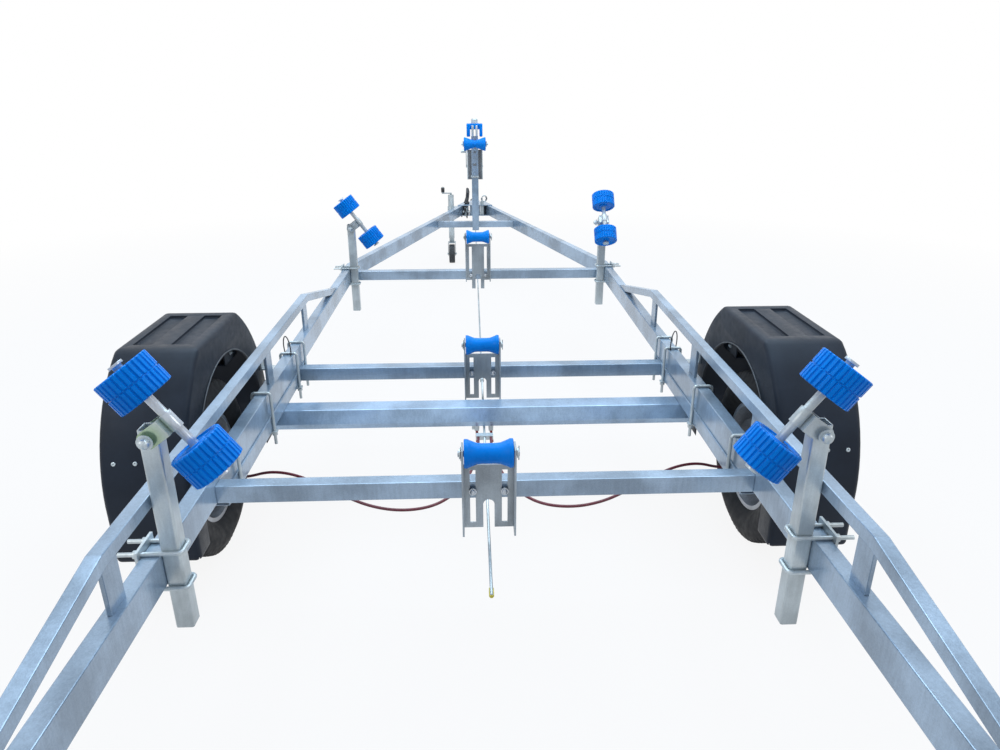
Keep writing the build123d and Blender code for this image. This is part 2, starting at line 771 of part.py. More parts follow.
AXLE_CLAMP_STATIONS = (-1694.0, -1325.0, -940.0, -810.0)
leg_offset = axle_rail_size / 2 + clamp_rod_radius
with BuildPart() as axle_clamps:
    for side, sign in SIDES:
        for y in AXLE_CLAMP_STATIONS:
            half_plate = leg_offset + clamp_rod_radius + rod_margin
            box_between(
                (sign * beam_x - half_plate, sign * beam_x + half_plate),
                (y - clamp_plate_margin, y + clamp_plate_margin),
                (axle_rail_bottom - clamp_plate_thickness, axle_rail_bottom),
            )
            leg_bottom = axle_rail_bottom - clamp_plate_thickness - rod_end_length
            leg_top = beam_top + clamp_rod_radius
            legs = (sign * beam_x - leg_offset, sign * beam_x + leg_offset)
            u_bolt((legs[0], y, leg_bottom), (legs[0], y, leg_top),
                   (legs[1], y, leg_top), (legs[1], y, leg_bottom), clamp_rod_radius)
            for leg_x in legs:
                rod_along("Z", (leg_x, y, axle_rail_bottom - clamp_plate_thickness), nut_radius, -nut_length)
save(axle_clamps, "axle_clamps")

# ---- Keel rollers and their folded brackets -------------------------------------------------------
KEEL_ROLLERS = (
    # name, rear face of the crossbeam, height of the roller's axis, depth of the plate below the axis,
    # height of the crossbeam's middle, height of the two narrow legs at the plate's foot
    ("rear", rear_cross_y - cross_depth / 2, beam_top + rear_keel_rise, rear_keel_plate_drop,
     beam_bottom + cross_height / 2, 0.0),
    ("mid", mid_cross_y - axle_rail_size / 2, beam_top + mid_keel_rise, mid_keel_plate_drop,
     beam_bottom - axle_rail_size / 2, 0.0),
    ("front", front_cross_y - axle_rail_size / 2, beam_top + front_keel_rise, front_keel_plate_drop,
     beam_bottom + cross_height / 2, front_keel_leg_height),
)
keel_ear_inner = keel_roller_length / 2 + keel_roller_side_gap
keel_ear_outer = keel_ear_inner + keel_plate_thickness
with BuildPart() as keel_brackets:
    for name, face_y, axis_z, plate_drop, bolt_z, leg_height in KEEL_ROLLERS:
        bottom_z = axis_z - plate_drop
        plate_top = axis_z - keel_roller_end_radius - keel_plate_clearance
        plate_y = (face_y - keel_plate_thickness, face_y)
        axis_y = face_y - keel_axis_behind_plate
        box_between((-keel_ear_outer, keel_ear_outer), plate_y, (bottom_z, plate_top))
        for sign in (-1, 1):
            low, high = sorted((sign * keel_ear_inner, sign * keel_ear_outer))
            box_between((low, high), (face_y - keel_flange_depth, face_y),
                        (bottom_z, axis_z + keel_ear_above_pin))
            slot_low = bottom_z + leg_height + keel_slot_width
            slot_high = plate_top - keel_slot_width
            box_between((sign * keel_slot_x - keel_slot_width / 2, sign * keel_slot_x + keel_slot_width / 2),
                        plate_y, (slot_low, slot_high), Mode.SUBTRACT)
        box_between((-keel_notch_width / 2, keel_notch_width / 2), plate_y,
                    (bottom_z, bottom_z + keel_notch_height), Mode.SUBTRACT)
        if leg_height:
            leg_outer = keel_notch_width / 2 + front_keel_leg_width
            for sign in (-1, 1):
                low, high = sorted((sign * leg_outer, sign * keel_ear_outer))
                box_between((low, high), (face_y - keel_flange_depth, face_y),
                            (bottom_z, bottom_z + leg_height), Mode.SUBTRACT)
        rod_along("Y", (0, face_y - keel_plate_thickness, bottom_z + keel_notch_height),
                  keel_notch_width / 2, keel_plate_thickness, Mode.SUBTRACT)
        pin_half = keel_ear_outer + keel_pin_overhang
        rod_along("X", (-pin_half, axis_y, axis_z), keel_pin_radius, 2 * pin_half)
        for sign in (-1, 1):
            bolt_start = (sign * keel_slot_x, face_y - keel_plate_thickness, bolt_z)
            rod_along("Y", bolt_start, keel_bolt_radius, -keel_bolt_head)
save(keel_brackets, "keel_brackets")


def hourglass(axis_point, length, end_radius, waist_radius, bore_radius):
    """Half section of a waisted roller that turns about an axis along X."""
    half = length / 2
    shoulder = half - keel_roller_rim
    with BuildSketch(Plane(origin=axis_point, x_dir=(1, 0, 0), z_dir=(0, -1, 0))) as section:
        with BuildLine():
            Line((-half, bore_radius), (-half, end_radius))
            Line((-half, end_radius), (-shoulder, end_radius))
            ThreePointArc((-shoulder, end_radius), (0, waist_radius), (shoulder, end_radius))
            Line((shoulder, end_radius), (half, end_radius))
            Line((half, end_radius), (half, bore_radius))
            Line((half, bore_radius), (-half, bore_radius))
        make_face()
    return section.sketch


for name, face_y, axis_z, plate_drop, bolt_z, leg_height in KEEL_ROLLERS:
    axis_point = (0, face_y - keel_axis_behind_plate, axis_z)
    with BuildPart() as keel_roller:
        section = hourglass(axis_point, keel_roller_length, keel_roller_end_radius, keel_roller_waist_radius,
                            keel_pin_radius + running_fit)
        revolve(section, axis=Axis(axis_point, (1, 0, 0)))
    save(keel_roller, f"keel_roller_{name}")

# ---- Winch post, winch and bow stop -----------------------------------------------------------------
winch_post_y = tie_rear_y - winch_post_size / 2
winch_post_top = beam_top + winch_post_rise
post_front_y = winch_post_y + winch_post_size / 2
post_rear_y = winch_post_y - winch_post_size / 2
with BuildPart() as winch_post:
    with Locations((0, winch_post_y, (beam_bottom + winch_post_top) / 2)):
        post_height = winch_post_top - beam_bottom
        Box(winch_post_size, winch_post_size, post_height)
        bore = winch_post_size - 2 * winch_post_wall
        Box(bore, bore, post_height, mode=Mode.SUBTRACT)
save(winch_post, "winch_post")

winch_axis_y = post_front_y + winch_axis_reach
winch_axis_z = beam_top + winch_axis_rise
winch_plate_bottom = beam_top + winch_plate_rise
winch_plate_top = winch_plate_bottom + winch_plate_height
plate_inner = winch_plate_spread / 2
plate_outer = plate_inner + winch_plate_thickness
with BuildPart() as winch_frame:
    box_between((-plate_inner, plate_inner), (post_front_y, post_front_y + winch_plate_thickness),
                (winch_plate_bottom, winch_plate_top))
    for sign in (-1, 1):
        low, high = sorted((sign * plate_inner, sign * plate_outer))
        box_between((low, high), (post_front_y, post_front_y + winch_plate_reach),
                    (winch_plate_bottom, winch_plate_top))
    rod_along("X", (-plate_outer, winch_axis_y, winch_axis_z), winch_shaft_radius + running_fit,
              2 * plate_outer, Mode.SUBTRACT)
save(winch_frame, "winch_frame")

drum_half = plate_inner - side_gap
handle_x = plate_outer + winch_side_gap
with BuildPart() as winch_drum:
    rod_along("X", (-drum_half, winch_axis_y, winch_axis_z), winch_drum_radius, 2 * drum_half)
    for start in (-drum_half, drum_half - winch_cheek_thickness):
        rod_along("X", (start, winch_axis_y, winch_axis_z), winch_cheek_radius, winch_cheek_thickness)
    rod_along("X", (-handle_x, winch_axis_y, winch_axis_z), winch_shaft_radius, 2 * handle_x)
save(winch_drum, "winch_drum")

with BuildPart() as winch_handle:
    low, high = -handle_x - handle_arm_thickness, -handle_x
    box_between((low, high), (winch_axis_y - handle_arm_width / 2, winch_axis_y + handle_arm_width / 2),
                (winch_axis_z - handle_arm_width / 2, winch_axis_z + handle_arm_length))
    grip_z = winch_axis_z + handle_arm_length - handle_grip_radius
    rod_along("X", (low, winch_axis_y, grip_z), handle_grip_radius, -handle_grip_length)
save(winch_handle, "winch_handle")

bow_axis_y = post_rear_y - bow_roller_behind_post
bow_roller_z = beam_top + bow_roller_rise
bow_arm_inner = bow_roller_length / 2 + keel_roller_side_gap
bow_arm_outer = bow_arm_inner + bow_arm_thickness
with BuildPart() as bow_bracket:
    box_between((-bow_arm_outer, bow_arm_outer), (post_rear_y - bow_arm_thickness, post_rear_y),
                (bow_roller_z - bow_arm_height / 2, bow_roller_z + bow_arm_height / 2))
    for sign in (-1, 1):
        low, high = sorted((sign * bow_arm_inner, sign * bow_arm_outer))
        box_between((low, high), (bow_axis_y - bow_arm_height / 2, post_rear_y),
                    (bow_roller_z - bow_arm_height / 2, bow_roller_z + bow_arm_height / 2))
    pin_half = bow_arm_outer + keel_pin_overhang
    rod_along("X", (-pin_half, bow_axis_y, bow_roller_z), bow_pin_radius, 2 * pin_half)
save(bow_bracket, "bow_bracket")

bow_axis_point = (0, bow_axis_y, bow_roller_z)
with BuildPart() as bow_roller:
    section = hourglass(bow_axis_point, bow_roller_length, bow_roller_end_radius, bow_roller_waist_radius,
                        bow_pin_radius + running_fit)
    revolve(section, axis=Axis(bow_axis_point, (1, 0, 0)))
save(bow_roller, "bow_roller")

stop_rear_y = winch_post_y - bow_stop_depth
with BuildPart() as bow_stop:
    box_between((-bow_stop_width / 2, bow_stop_width / 2), (stop_rear_y, post_front_y),
                (winch_post_top, winch_post_top + bow_stop_height))
    with BuildSketch(Plane.XY.offset(winch_post_top)):
        with BuildLine():
            Polyline((-bow_stop_width / 2, stop_rear_y), (0, stop_rear_y + bow_stop_vee),
                     (bow_stop_width / 2, stop_rear_y), close=True)
        make_face()
    extrude(amount=bow_stop_height, mode=Mode.SUBTRACT)
    rod_along("Z", (0, winch_post_y, winch_post_top + bow_stop_height), bow_cap_radius, bow_cap_height)
save(bow_stop, "bow_stop")

# ---- Coupling, overrun box and handbrake lever --------------------------------------------------------
box_rear_y = front_end - coupling_head_length - (draw_tube_length - coupling_head_width / 2) - coupling_box_length
box_front_y = box_rear_y + coupling_box_length
head_rear_y = front_end - coupling_head_length
plate_rear_y = drawbar_front_y - coupling_plate_length
with BuildPart() as overrun_box:
    box_between((-coupling_box_width / 2, coupling_box_width / 2), (box_rear_y, box_front_y),
                (beam_bottom, beam_top))
    for plate_z in (beam_top, beam_bottom - coupling_plate_thickness):
        with BuildSketch(Plane.XY.offset(plate_z)):
            with BuildLine():
                right = [(arm_centre(y) + arm_half, y) for y in (plate_rear_y, drawbar_front_y)]
                left = [(-x, y) for x, y in reversed(right)]
                Polyline(*right, *left, close=True)
            make_face()
        extrude(amount=coupling_plate_thickness)
    rod_along("Y", (0, box_front_y, beam_middle_z), draw_tube_radius, head_rear_y - box_front_y)
save(overrun_box, "overrun_box")

ball_y = front_end - ball_inset
with BuildPart() as coupling_head:
    with BuildSketch(Plane.XY.offset(beam_middle_z - coupling_head_height / 2)):
        with Locations((0, (head_rear_y + ball_y) / 2)):
            Rectangle(coupling_head_width, ball_y - head_rear_y)
        with Locations((0, ball_y)):
            Circle(coupling_head_width / 2)
        with Locations((0, front_end - ball_inset / 2)):
            Rectangle(coupling_grip_width, ball_inset)
    extrude(amount=coupling_head_height)
    with Locations((0, ball_y, beam_middle_z)):
        Sphere(ball_radius + ball_clearance, mode=Mode.SUBTRACT)
    rod_along("Z", (0, ball_y, beam_middle_z), ball_radius + ball_clearance,
              -coupling_head_height / 2, Mode.SUBTRACT)
    head_top = beam_middle_z + coupling_head_height / 2
    box_between((-coupling_grip_width / 2, coupling_grip_width / 2),
                (head_rear_y, head_rear_y + coupling_grip_length), (head_top, head_top + coupling_grip_rise / 4))
save(coupling_head, "coupling_head")

lever_foot_y = drawbar_front_y - coupling_plate_length / 2
lever_foot_z = beam_top + coupling_plate_thickness
with BuildPart() as handbrake_lever:
    with BuildSketch(Plane.YZ.offset(lever_x)):
        with BuildLine():
            ThreePointArc(
                (lever_foot_y, lever_foot_z + lever_thickness),
                (lever_foot_y - lever_lean / 2 + lever_bow, lever_foot_z + lever_height / 2 + lever_bow),
                (lever_foot_y - lever_lean, lever_foot_z + lever_height),
            )
        trace(line_width=lever_width)
    extrude(amount=lever_thickness / 2, both=True)
    box_between((lever_x - lever_thickness, lever_x + lever_thickness),
                (lever_foot_y - lever_width, lever_foot_y + lever_width),
                (lever_foot_z, lever_foot_z + lever_thickness))
save(handbrake_lever, "handbrake_lever")

# ---- Jockey wheel ----------------------------------------------------------------------------------------
clamp_radius = jockey_outer_radius + jockey_clamp_wall
outer_top = jockey_outer_bottom + jockey_outer_length
with BuildPart() as jockey_clamp:
    half_depth = clamp_radius
    with BuildSketch(Plane.XY.offset(beam_middle_z - jockey_clamp_height / 2)):
        with BuildLine():
            ends = (jockey_y - half_depth, jockey_y + half_depth)
            at_arm = [(-(arm_centre(y) + arm_half), y) for y in ends]
            at_tube = [(jockey_x, y) for y in reversed(ends)]
            Polyline(*at_arm, *at_tube, close=True)
        make_face()
        with Locations((jockey_x, jockey_y)):
            Circle(clamp_radius)
            Circle(jockey_outer_radius + jockey_slide_gap, mode=Mode.SUBTRACT)
    extrude(amount=jockey_clamp_height)
save(jockey_clamp, "jockey_clamp")

with BuildPart() as jockey_outer_tube:
    base = (jockey_x, jockey_y, jockey_outer_bottom)
    rod_along("Z", base, jockey_outer_radius, jockey_outer_length)
    rod_along("Z", base, jockey_outer_radius - jockey_outer_wall, jockey_outer_length - jockey_outer_wall,
              Mode.SUBTRACT)
save(jockey_outer_tube, "jockey_outer_tube")

with BuildPart() as jockey_crank:
    rod_along("Z", (jockey_x, jockey_y, outer_top), jockey_axle_radius, jockey_crank_rise)
    arm_z = (outer_top + jockey_crank_rise - jockey_axle_radius, outer_top + jockey_crank_rise)
    box_between((jockey_x - jockey_crank_length, jockey_x + jockey_axle_radius),
                (jockey_y - jockey_axle_radius, jockey_y + jockey_axle_radius), arm_z)
    rod_along("Z", (jockey_x - jockey_crank_length + jockey_axle_radius, jockey_y, arm_z[1]),
              jockey_knob_radius, jockey_knob_height)
save(jockey_crank, "jockey_crank")

inner_radius = jockey_outer_radius - jockey_outer_wall - jockey_slide_gap
with BuildPart() as jockey_inner_tube:
    rod_along("Z", (jockey_x, jockey_y, jockey_fork_top), inner_radius, jockey_inner_length)
save(jockey_inner_tube, "jockey_inner_tube")

jockey_axle_y = jockey_y - jockey_caster
fork_bottom = jockey_wheel_radius - jockey_axle_radius * 2
with BuildPart() as jockey_fork:
    plate_z = (jockey_fork_top - jockey_fork_thickness - running_fit, jockey_fork_top - running_fit)
    box_between((jockey_x - jockey_fork_width / 2, jockey_x + jockey_fork_width / 2),
                (jockey_axle_y - inner_radius, jockey_y + inner_radius), plate_z)
    for sign in (-1, 1):
        edge = jockey_x + sign * jockey_fork_width / 2
        low, high = sorted((edge, edge - sign * jockey_fork_thickness))
        with BuildSketch(Plane.YZ.offset(low)):
            with BuildLine():
                Polyline(
                    (jockey_axle_y - inner_radius, plate_z[1]),
                    (jockey_axle_y - 2 * jockey_axle_radius, fork_bottom),
                    (jockey_axle_y + 2 * jockey_axle_radius, fork_bottom),
                    (jockey_y + inner_radius, plate_z[1]),
                    close=True,
                )
            make_face()
        extrude(amount=high - low)
    rod_along("X", (jockey_x - jockey_fork_width / 2 - jockey_axle_radius, jockey_axle_y, jockey_wheel_radius),
              jockey_axle_radius, jockey_fork_width + 2 * jockey_axle_radius)
save(jockey_fork, "jockey_fork")

with BuildPart() as jockey_wheel:
    start = (jockey_x - jockey_wheel_width / 2, jockey_axle_y, jockey_wheel_radius)
    rod_along("X", start, jockey_wheel_radius, jockey_wheel_width)
    rod_along("X", start, jockey_axle_radius + running_fit, jockey_wheel_width, Mode.SUBTRACT)
save(jockey_wheel, "jockey_wheel")

# ---- Brake rod, equaliser and cables --------------------------------------------------------------------------
brake_rod_z = beam_top - brake_rod_drop
with BuildPart() as brake_equaliser:
    box_between((-equaliser_width / 2, equaliser_width / 2),
                (equaliser_y - equaliser_depth / 2, equaliser_y + equaliser_depth / 2),
                (brake_rod_z - equaliser_height, brake_rod_z + equaliser_height))
    rod_along("Y", (0, equaliser_y - equaliser_depth, brake_rod_z), brake_rod_radius, 2 * equaliser_depth,
              Mode.SUBTRACT)
save(brake_equaliser, "brake_equaliser")

with BuildPart() as brake_rod:
    rod_along("Y", (0, brake_rod_rear_y, brake_rod_z), brake_rod_radius, brake_rod_joint_y - brake_rod_rear_y)
    front = Vector(0, plate_rear_y, beam_top - brake_rod_front_drop)
    joint = Vector(0, brake_rod_joint_y, brake_rod_z)
    with BuildSketch(Plane(origin=joint, z_dir=(front - joint))) as section:
        Circle(brake_rod_radius)
    extrude(section.sketch, amount=(front - joint).length)
    rod_along("Y", (0, brake_rod_joint_y - brake_rod_joint_length / 2, brake_rod_z),
              brake_rod_joint_radius, brake_rod_joint_length)
save(brake_rod, "brake_rod")

# Route of the left brake cable, from the equaliser to the backplate. The right one mirrors it.
CABLE_ROUTE = (
    (-22, -1252, 282),
    (-22, -1345, 282),
    (-38, -1440, 278),
    (-62, -1535, 278),
    (-100, -1625, 279),
    (-162, -1695, 281),
    (-250, -1718, 284),
    (-340, -1694, 286),
    (-426, -1642, 293),
    (-512, -1580, 300),
    (-600, -1520, 303),
    (-690, -1466, 284),
    (-772, -1425, 243),
    (-832, -1402, 232),
    (-880, -1402, 232),
)


def cord_radii(points):
    """The largest arc that fits at each corner of a route."""
    radii = []
    for before, here, after in zip(points, points[1:], points[2:]):
        run_in = Vector(*here) - Vector(*before)
        run_out = Vector(*after) - Vector(*here)
        half_turn = math.radians(run_in.get_angle(run_out)) / 2
        radii.append(0.45 * min(run_in.length, run_out.length) / math.tan(half_turn))
    return radii


for side, sign in SIDES:
    route = [(-sign * x, y, z) for x, y, z in CABLE_ROUTE]
    radii = cord_radii(route)
    with BuildPart() as brake_cable:
        with BuildLine() as path:
            FilletPolyline(*route, radius=radii)
        with BuildSketch(Plane(origin=path.line @ 0, z_dir=path.line % 0)):
            Circle(cable_radius)
        sweep()
    save(brake_cable, f"brake_cable_{side}")
    length = sum(edge.length for edge in path.line.edges())
    print(f"brake_cable_{side}: length {length:.0f}, smallest radius {min(radii):.0f},",
          f"volume / (section x length) {brake_cable.part.volume / (math.pi * cable_radius ** 2 * length):.4f}")

# ---- Rear light board on arms that slide into the beams -------------------------------------------------------------
board_front_y = rear_end + board_thickness
with BuildPart() as light_board:
    box_between((-board_length / 2, board_length / 2), (rear_end + lamp_depth, board_front_y),
                (beam_middle_z - board_height / 2, beam_middle_z + board_height / 2))
    for sign in (-1, 1):
        low, high = sorted((sign * board_length / 2, sign * (board_length / 2 - lamp_width)))
        box_between((low, high), (rear_end, rear_end + lamp_depth),
                    (beam_middle_z - board_height / 2, beam_middle_z + board_height / 2))
    box_between((-plate_width / 2, plate_width / 2), (rear_end + lamp_depth - plate_thickness, rear_end + lamp_depth),
                (beam_middle_z - plate_height / 2, beam_middle_z + plate_height / 2))
save(light_board, "light_board")

with BuildPart() as light_board_arms:
    for side, sign in SIDES:
        middle = (sign * beam_x, (board_front_y + beam_rear_y + board_arm_inside) / 2,
                  beam_bottom + beam_wall + board_arm_size / 2)
        square_tube("Y", middle, board_arm_size, board_arm_size, beam_wall,
                    beam_rear_y + board_arm_inside - board_front_y)
save(light_board_arms, "light_board_arms")
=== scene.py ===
import bpy
import bmesh
import json
import math
from mathutils import Vector, Matrix, Euler


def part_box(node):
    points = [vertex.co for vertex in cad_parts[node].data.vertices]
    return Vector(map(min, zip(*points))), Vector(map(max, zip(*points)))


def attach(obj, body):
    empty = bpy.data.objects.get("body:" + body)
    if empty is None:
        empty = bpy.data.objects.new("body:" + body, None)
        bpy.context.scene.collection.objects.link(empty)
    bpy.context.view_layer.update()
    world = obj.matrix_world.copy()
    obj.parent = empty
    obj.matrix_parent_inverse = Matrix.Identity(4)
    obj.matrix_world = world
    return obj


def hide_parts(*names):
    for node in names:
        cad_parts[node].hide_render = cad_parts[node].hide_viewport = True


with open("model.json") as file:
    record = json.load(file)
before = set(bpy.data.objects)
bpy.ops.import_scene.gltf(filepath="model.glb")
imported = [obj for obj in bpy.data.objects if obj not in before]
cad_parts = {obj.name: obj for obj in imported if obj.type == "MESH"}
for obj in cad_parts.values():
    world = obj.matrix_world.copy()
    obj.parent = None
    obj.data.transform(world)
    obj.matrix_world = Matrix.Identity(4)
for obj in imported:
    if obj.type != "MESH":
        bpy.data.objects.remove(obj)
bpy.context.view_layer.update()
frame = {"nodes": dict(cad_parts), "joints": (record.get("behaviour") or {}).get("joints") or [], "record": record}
NODES = frame["nodes"]
JOINTS = {joint["name"]: joint for joint in frame["joints"]}
SLOT_OF = {part["node"]: part["material_slot"] for part in frame["record"]["subparts"]}
SCENE = bpy.context.scene
SIDES = (("left", -1), ("right", 1))
ROWS = ("rear", "mid", "front")
CORNERS = ("rear_left", "rear_right", "front_left", "front_right")

# ---- Camera: an eye-height view from behind the trailer, looking down its middle
FOCAL_LENGTH = 26.10
CAMERA_PLACE = (-0.0356, -3.530, 1.415)
CAMERA_TURN = (68.51, 0.06, -2.28)
camera_data = bpy.data.cameras.new("camera")
camera_data.sensor_width = 36.0
camera_data.lens = FOCAL_LENGTH
camera_data.clip_end = 200.0
camera = bpy.data.objects.new("camera", camera_data)
camera.location = CAMERA_PLACE
camera.rotation_euler = Euler([math.radians(angle) for angle in CAMERA_TURN], "XYZ")
SCENE.collection.objects.link(camera)
SCENE.camera = camera


# ---- Materials -----------------------------------------------------------------------------
def new_material(name, metallic, **fixed):
    """A principled material; numbers that are the same all over are set on the shader itself."""
    material = bpy.data.materials.new(name)
    material.use_nodes = True
    shader = material.node_tree.nodes["Principled BSDF"]
    shader.inputs["Metallic"].default_value = metallic
    for socket, value in fixed.items():
        shader.inputs[socket.replace("_", " ")].default_value = value
    return material, material.node_tree.nodes, material.node_tree.links, shader


def coordinates(nodes, links, stretch=(1, 1, 1)):
    source = nodes.new("ShaderNodeTexCoord")
    mapping = nodes.new("ShaderNodeMapping")
    mapping.inputs["Scale"].default_value = stretch
    links.new(source.outputs["Object"], mapping.inputs["Vector"])
    return mapping.outputs["Vector"]


def noise(nodes, links, vector, scale, detail, roughness=0.5):
    node = nodes.new("ShaderNodeTexNoise")
    node.inputs["Scale"].default_value = scale
    node.inputs["Detail"].default_value = detail
    node.inputs["Roughness"].default_value = roughness
    links.new(vector, node.inputs["Vector"])
    return node.outputs["Fac"]


def ramp(nodes, links, factor, *stops):
    """A colour ramp; each stop is (place, (r, g, b)) or (place, grey)."""
    node = nodes.new("ShaderNodeValToRGB")
    elements = node.color_ramp.elements
    while len(elements) < len(stops):
        elements.new(0.5)
    for element, (place, colour) in zip(elements, stops):
        element.position = place
        rgb = colour if isinstance(colour, tuple) else (colour,) * 3
        element.color = (*rgb, 1.0)
    links.new(factor, node.inputs["Fac"])
    return node.outputs["Color"]


def darkened(nodes, links, a, b, share):
    """One colour multiplied by another, by a share."""
    node = nodes.new("ShaderNodeMix")
    node.data_type = "RGBA"
    node.blend_type = "MULTIPLY"
    node.inputs[0].default_value = share
    links.new(a, node.inputs[6])
    links.new(b, node.inputs[7])
    return node.outputs[2]


def bump(nodes, links, shader, height, strength, distance):
    node = nodes.new("ShaderNodeBump")
    node.inputs["Strength"].default_value = strength
    node.inputs["Distance"].default_value = distance
    links.new(height, node.inputs["Height"])
    links.new(node.outputs["Normal"], shader.inputs["Normal"])


def zinc(name, dark, light, metallic, rough_low, rough_high, spangle, stain=None):
    """Zinc on steel: crystals of differing brightness, faint runs down the sides and dull patches.

    A stain is (place, radius, colour): a passivated tint that fades out at the radius.
    """
    material, nodes, links, shader = new_material(name, metallic)
    plain = coordinates(nodes, links)
    runs = coordinates(nodes, links, (1, 1, 0.12))
    crystals = nodes.new("ShaderNodeTexVoronoi")
    crystals.inputs["Scale"].default_value = spangle
    links.new(plain, crystals.inputs["Vector"])
    grey = nodes.new("ShaderNodeRGBToBW")
    links.new(crystals.outputs["Color"], grey.inputs["Color"])
    crystal_colour = ramp(nodes, links, grey.outputs["Val"], (0.15, dark), (0.85, light))
    run_colour = ramp(nodes, links, noise(nodes, links, runs, 120, 6, 0.60), (0.34, 0.86), (0.62, 1.0))
    patch_colour = ramp(nodes, links, noise(nodes, links, plain, 6, 4), (0.38, 0.62), (0.60, 1.0))
    colour = darkened(nodes, links, crystal_colour, run_colour, 0.80)
    colour = darkened(nodes, links, colour, patch_colour, 0.9)
    if stain:
        spot, reach, tint = stain
        away = nodes.new("ShaderNodeVectorMath")
        away.operation = "DISTANCE"
        away.inputs[1].default_value = spot
        links.new(plain, away.inputs[0])
        fade = nodes.new("ShaderNodeMapRange")
        fade.inputs["From Max"].default_value = reach
        links.new(away.outputs["Value"], fade.inputs["Value"])
        stain_colour = ramp(nodes, links, fade.outputs["Result"], (0.55, tint), (1.0, (1.0, 1.0, 1.0)))
        colour = darkened(nodes, links, colour, stain_colour, 1.0)
    links.new(colour, shader.inputs["Base Color"])
    rough = ramp(nodes, links, grey.outputs["Val"], (0.1, rough_low), (0.9, rough_high))
    links.new(rough, shader.inputs["Roughness"])
    bump(nodes, links, shader, noise(nodes, links, plain, 260, 2), 0.10, 0.0004)
    return material


def moulded(name, dark, light, rough_low, rough_high, grain, depth, **fixed):
    """Rubber, plastic or paint: a fine grain, slow colour change and scuffs."""
    material, nodes, links, shader = new_material(name, 0.0, **fixed)
    plain = coordinates(nodes, links)
    slow = ramp(nodes, links, noise(nodes, links, plain, 9, 4), (0.3, dark), (0.7, light))
    links.new(slow, shader.inputs["Base Color"])
    rough = ramp(nodes, links, noise(nodes, links, plain, 40, 3), (0.3, rough_low), (0.7, rough_high))
    links.new(rough, shader.inputs["Roughness"])
    bump(nodes, links, shader, noise(nodes, links, plain, grain, 2), 0.35, depth)
    return material


MATERIALS = {
    # galvanised: blue-grey zinc whose blue tint is partly painted reflection of the sky
    "galvanised": zinc("galvanised", (0.34, 0.43, 0.52), (0.39, 0.485, 0.58), 0.45, 0.21, 0.25, 420),
    "zinc_plate": zinc("zinc_plate", (0.56, 0.61, 0.61), (0.61, 0.66, 0.66), 0.48, 0.32, 0.34, 420),
    "brake_steel": zinc("brake_steel", (0.16, 0.16, 0.17), (0.30, 0.30, 0.31), 0.6, 0.45, 0.65, 300),
    "rim_steel": zinc("rim_steel", (0.42, 0.43, 0.45), (0.54, 0.55, 0.57), 0.45, 0.3, 0.42, 320),
    "tyre": moulded("tyre", (0.010, 0.010, 0.011), (0.019, 0.019, 0.020), 0.62, 0.85, 900, 0.0004,
                    Specular_IOR_Level=0.30),
    "blue_roller": moulded("blue_roller", (0.0002, 0.165, 0.54), (0.0005, 0.215, 0.68), 0.22, 0.34, 600, 0.0002,
                           Specular_IOR_Level=0.10),
    "fender_plastic": moulded("fender_plastic", (0.013, 0.017, 0.024), (0.020, 0.026, 0.036), 0.34, 0.46,
                              1100, 0.0005, Specular_IOR_Level=0.14),
    "coupling_paint": moulded("coupling_paint", (0.018, 0.018, 0.020), (0.032, 0.032, 0.034), 0.3, 0.5, 700, 0.0003),
    "jockey_rubber": moulded("jockey_rubber", (0.03, 0.03, 0.03), (0.05, 0.05, 0.05), 0.6, 0.8, 800, 0.0004),
    "cable_sheath": moulded("cable_sheath", (0.10, 0.010, 0.016), (0.16, 0.018, 0.026), 0.35, 0.5, 900, 0.0002),
    "board_plastic": moulded("board_plastic", (0.025, 0.025, 0.027), (0.045, 0.045, 0.048), 0.35, 0.5, 700, 0.0003),
}
RED_LENS = moulded("red_lens", (0.34, 0.006, 0.008), (0.42, 0.010, 0.012), 0.12, 0.2, 300, 0.0002)
AMBER_LENS = moulded("amber_lens", (0.55, 0.16, 0.01), (0.65, 0.21, 0.02), 0.12, 0.2, 300, 0.0002)
BLANK_PLATE = moulded("blank_plate", (0.62, 0.62, 0.60), (0.70, 0.70, 0.68), 0.3, 0.45, 400, 0.0002)
GREEN_ZINC = zinc("green_zinc", (0.58, 0.62, 0.65), (0.63, 0.67, 0.70), 0.55, 0.17, 0.19, 320,
                  (JOINTS["swivel_rear_left"]["pos_m"], 0.062, (0.66, 0.80, 0.50)))
# painted highlight: the bead round each arch is a lighter grey than the fender, so that it reads as a pale line of
# light
ARCH_EDGE_HIGHLIGHT = moulded("arch_edge_highlight", (0.035, 0.040, 0.046), (0.055, 0.060, 0.068), 0.34, 0.46, 900, 0.0002)
# painted reflection: the axle's zinc is coloured bluer and brighter than plain zinc, to stand in for the sky it
# reflects
SKY_SHEEN_ZINC = zinc("sky_sheen_zinc", (0.38, 0.52, 0.68), (0.45, 0.60, 0.76), 0.50, 0.18, 0.21, 420)
BRACKET_ZINC = zinc("bracket_zinc", (0.37, 0.41, 0.43), (0.43, 0.47, 0.49), 0.46, 0.32, 0.34, 420)
BOLT_ZINC = zinc("bolt_zinc", (0.66, 0.69, 0.71), (0.78, 0.80, 0.82), 0.50, 0.18, 0.28, 380)
DARK_STEEL = zinc("dark_steel", (0.16, 0.17, 0.175), (0.26, 0.27, 0.28), 0.40, 0.34, 0.50, 320)
BLACK_GRIP = moulded("black_grip", (0.012, 0.012, 0.014), (0.022, 0.022, 0.024), 0.40, 0.55, 500, 0.0003)
RED_BOOT = moulded("red_boot", (0.36, 0.030, 0.020), (0.48, 0.045, 0.030), 0.40, 0.55, 600, 0.0002)
YELLOW_TIP = moulded("yellow_tip", (0.62, 0.47, 0.03), (0.72, 0.56, 0.05), 0.35, 0.5, 700, 0.0002)


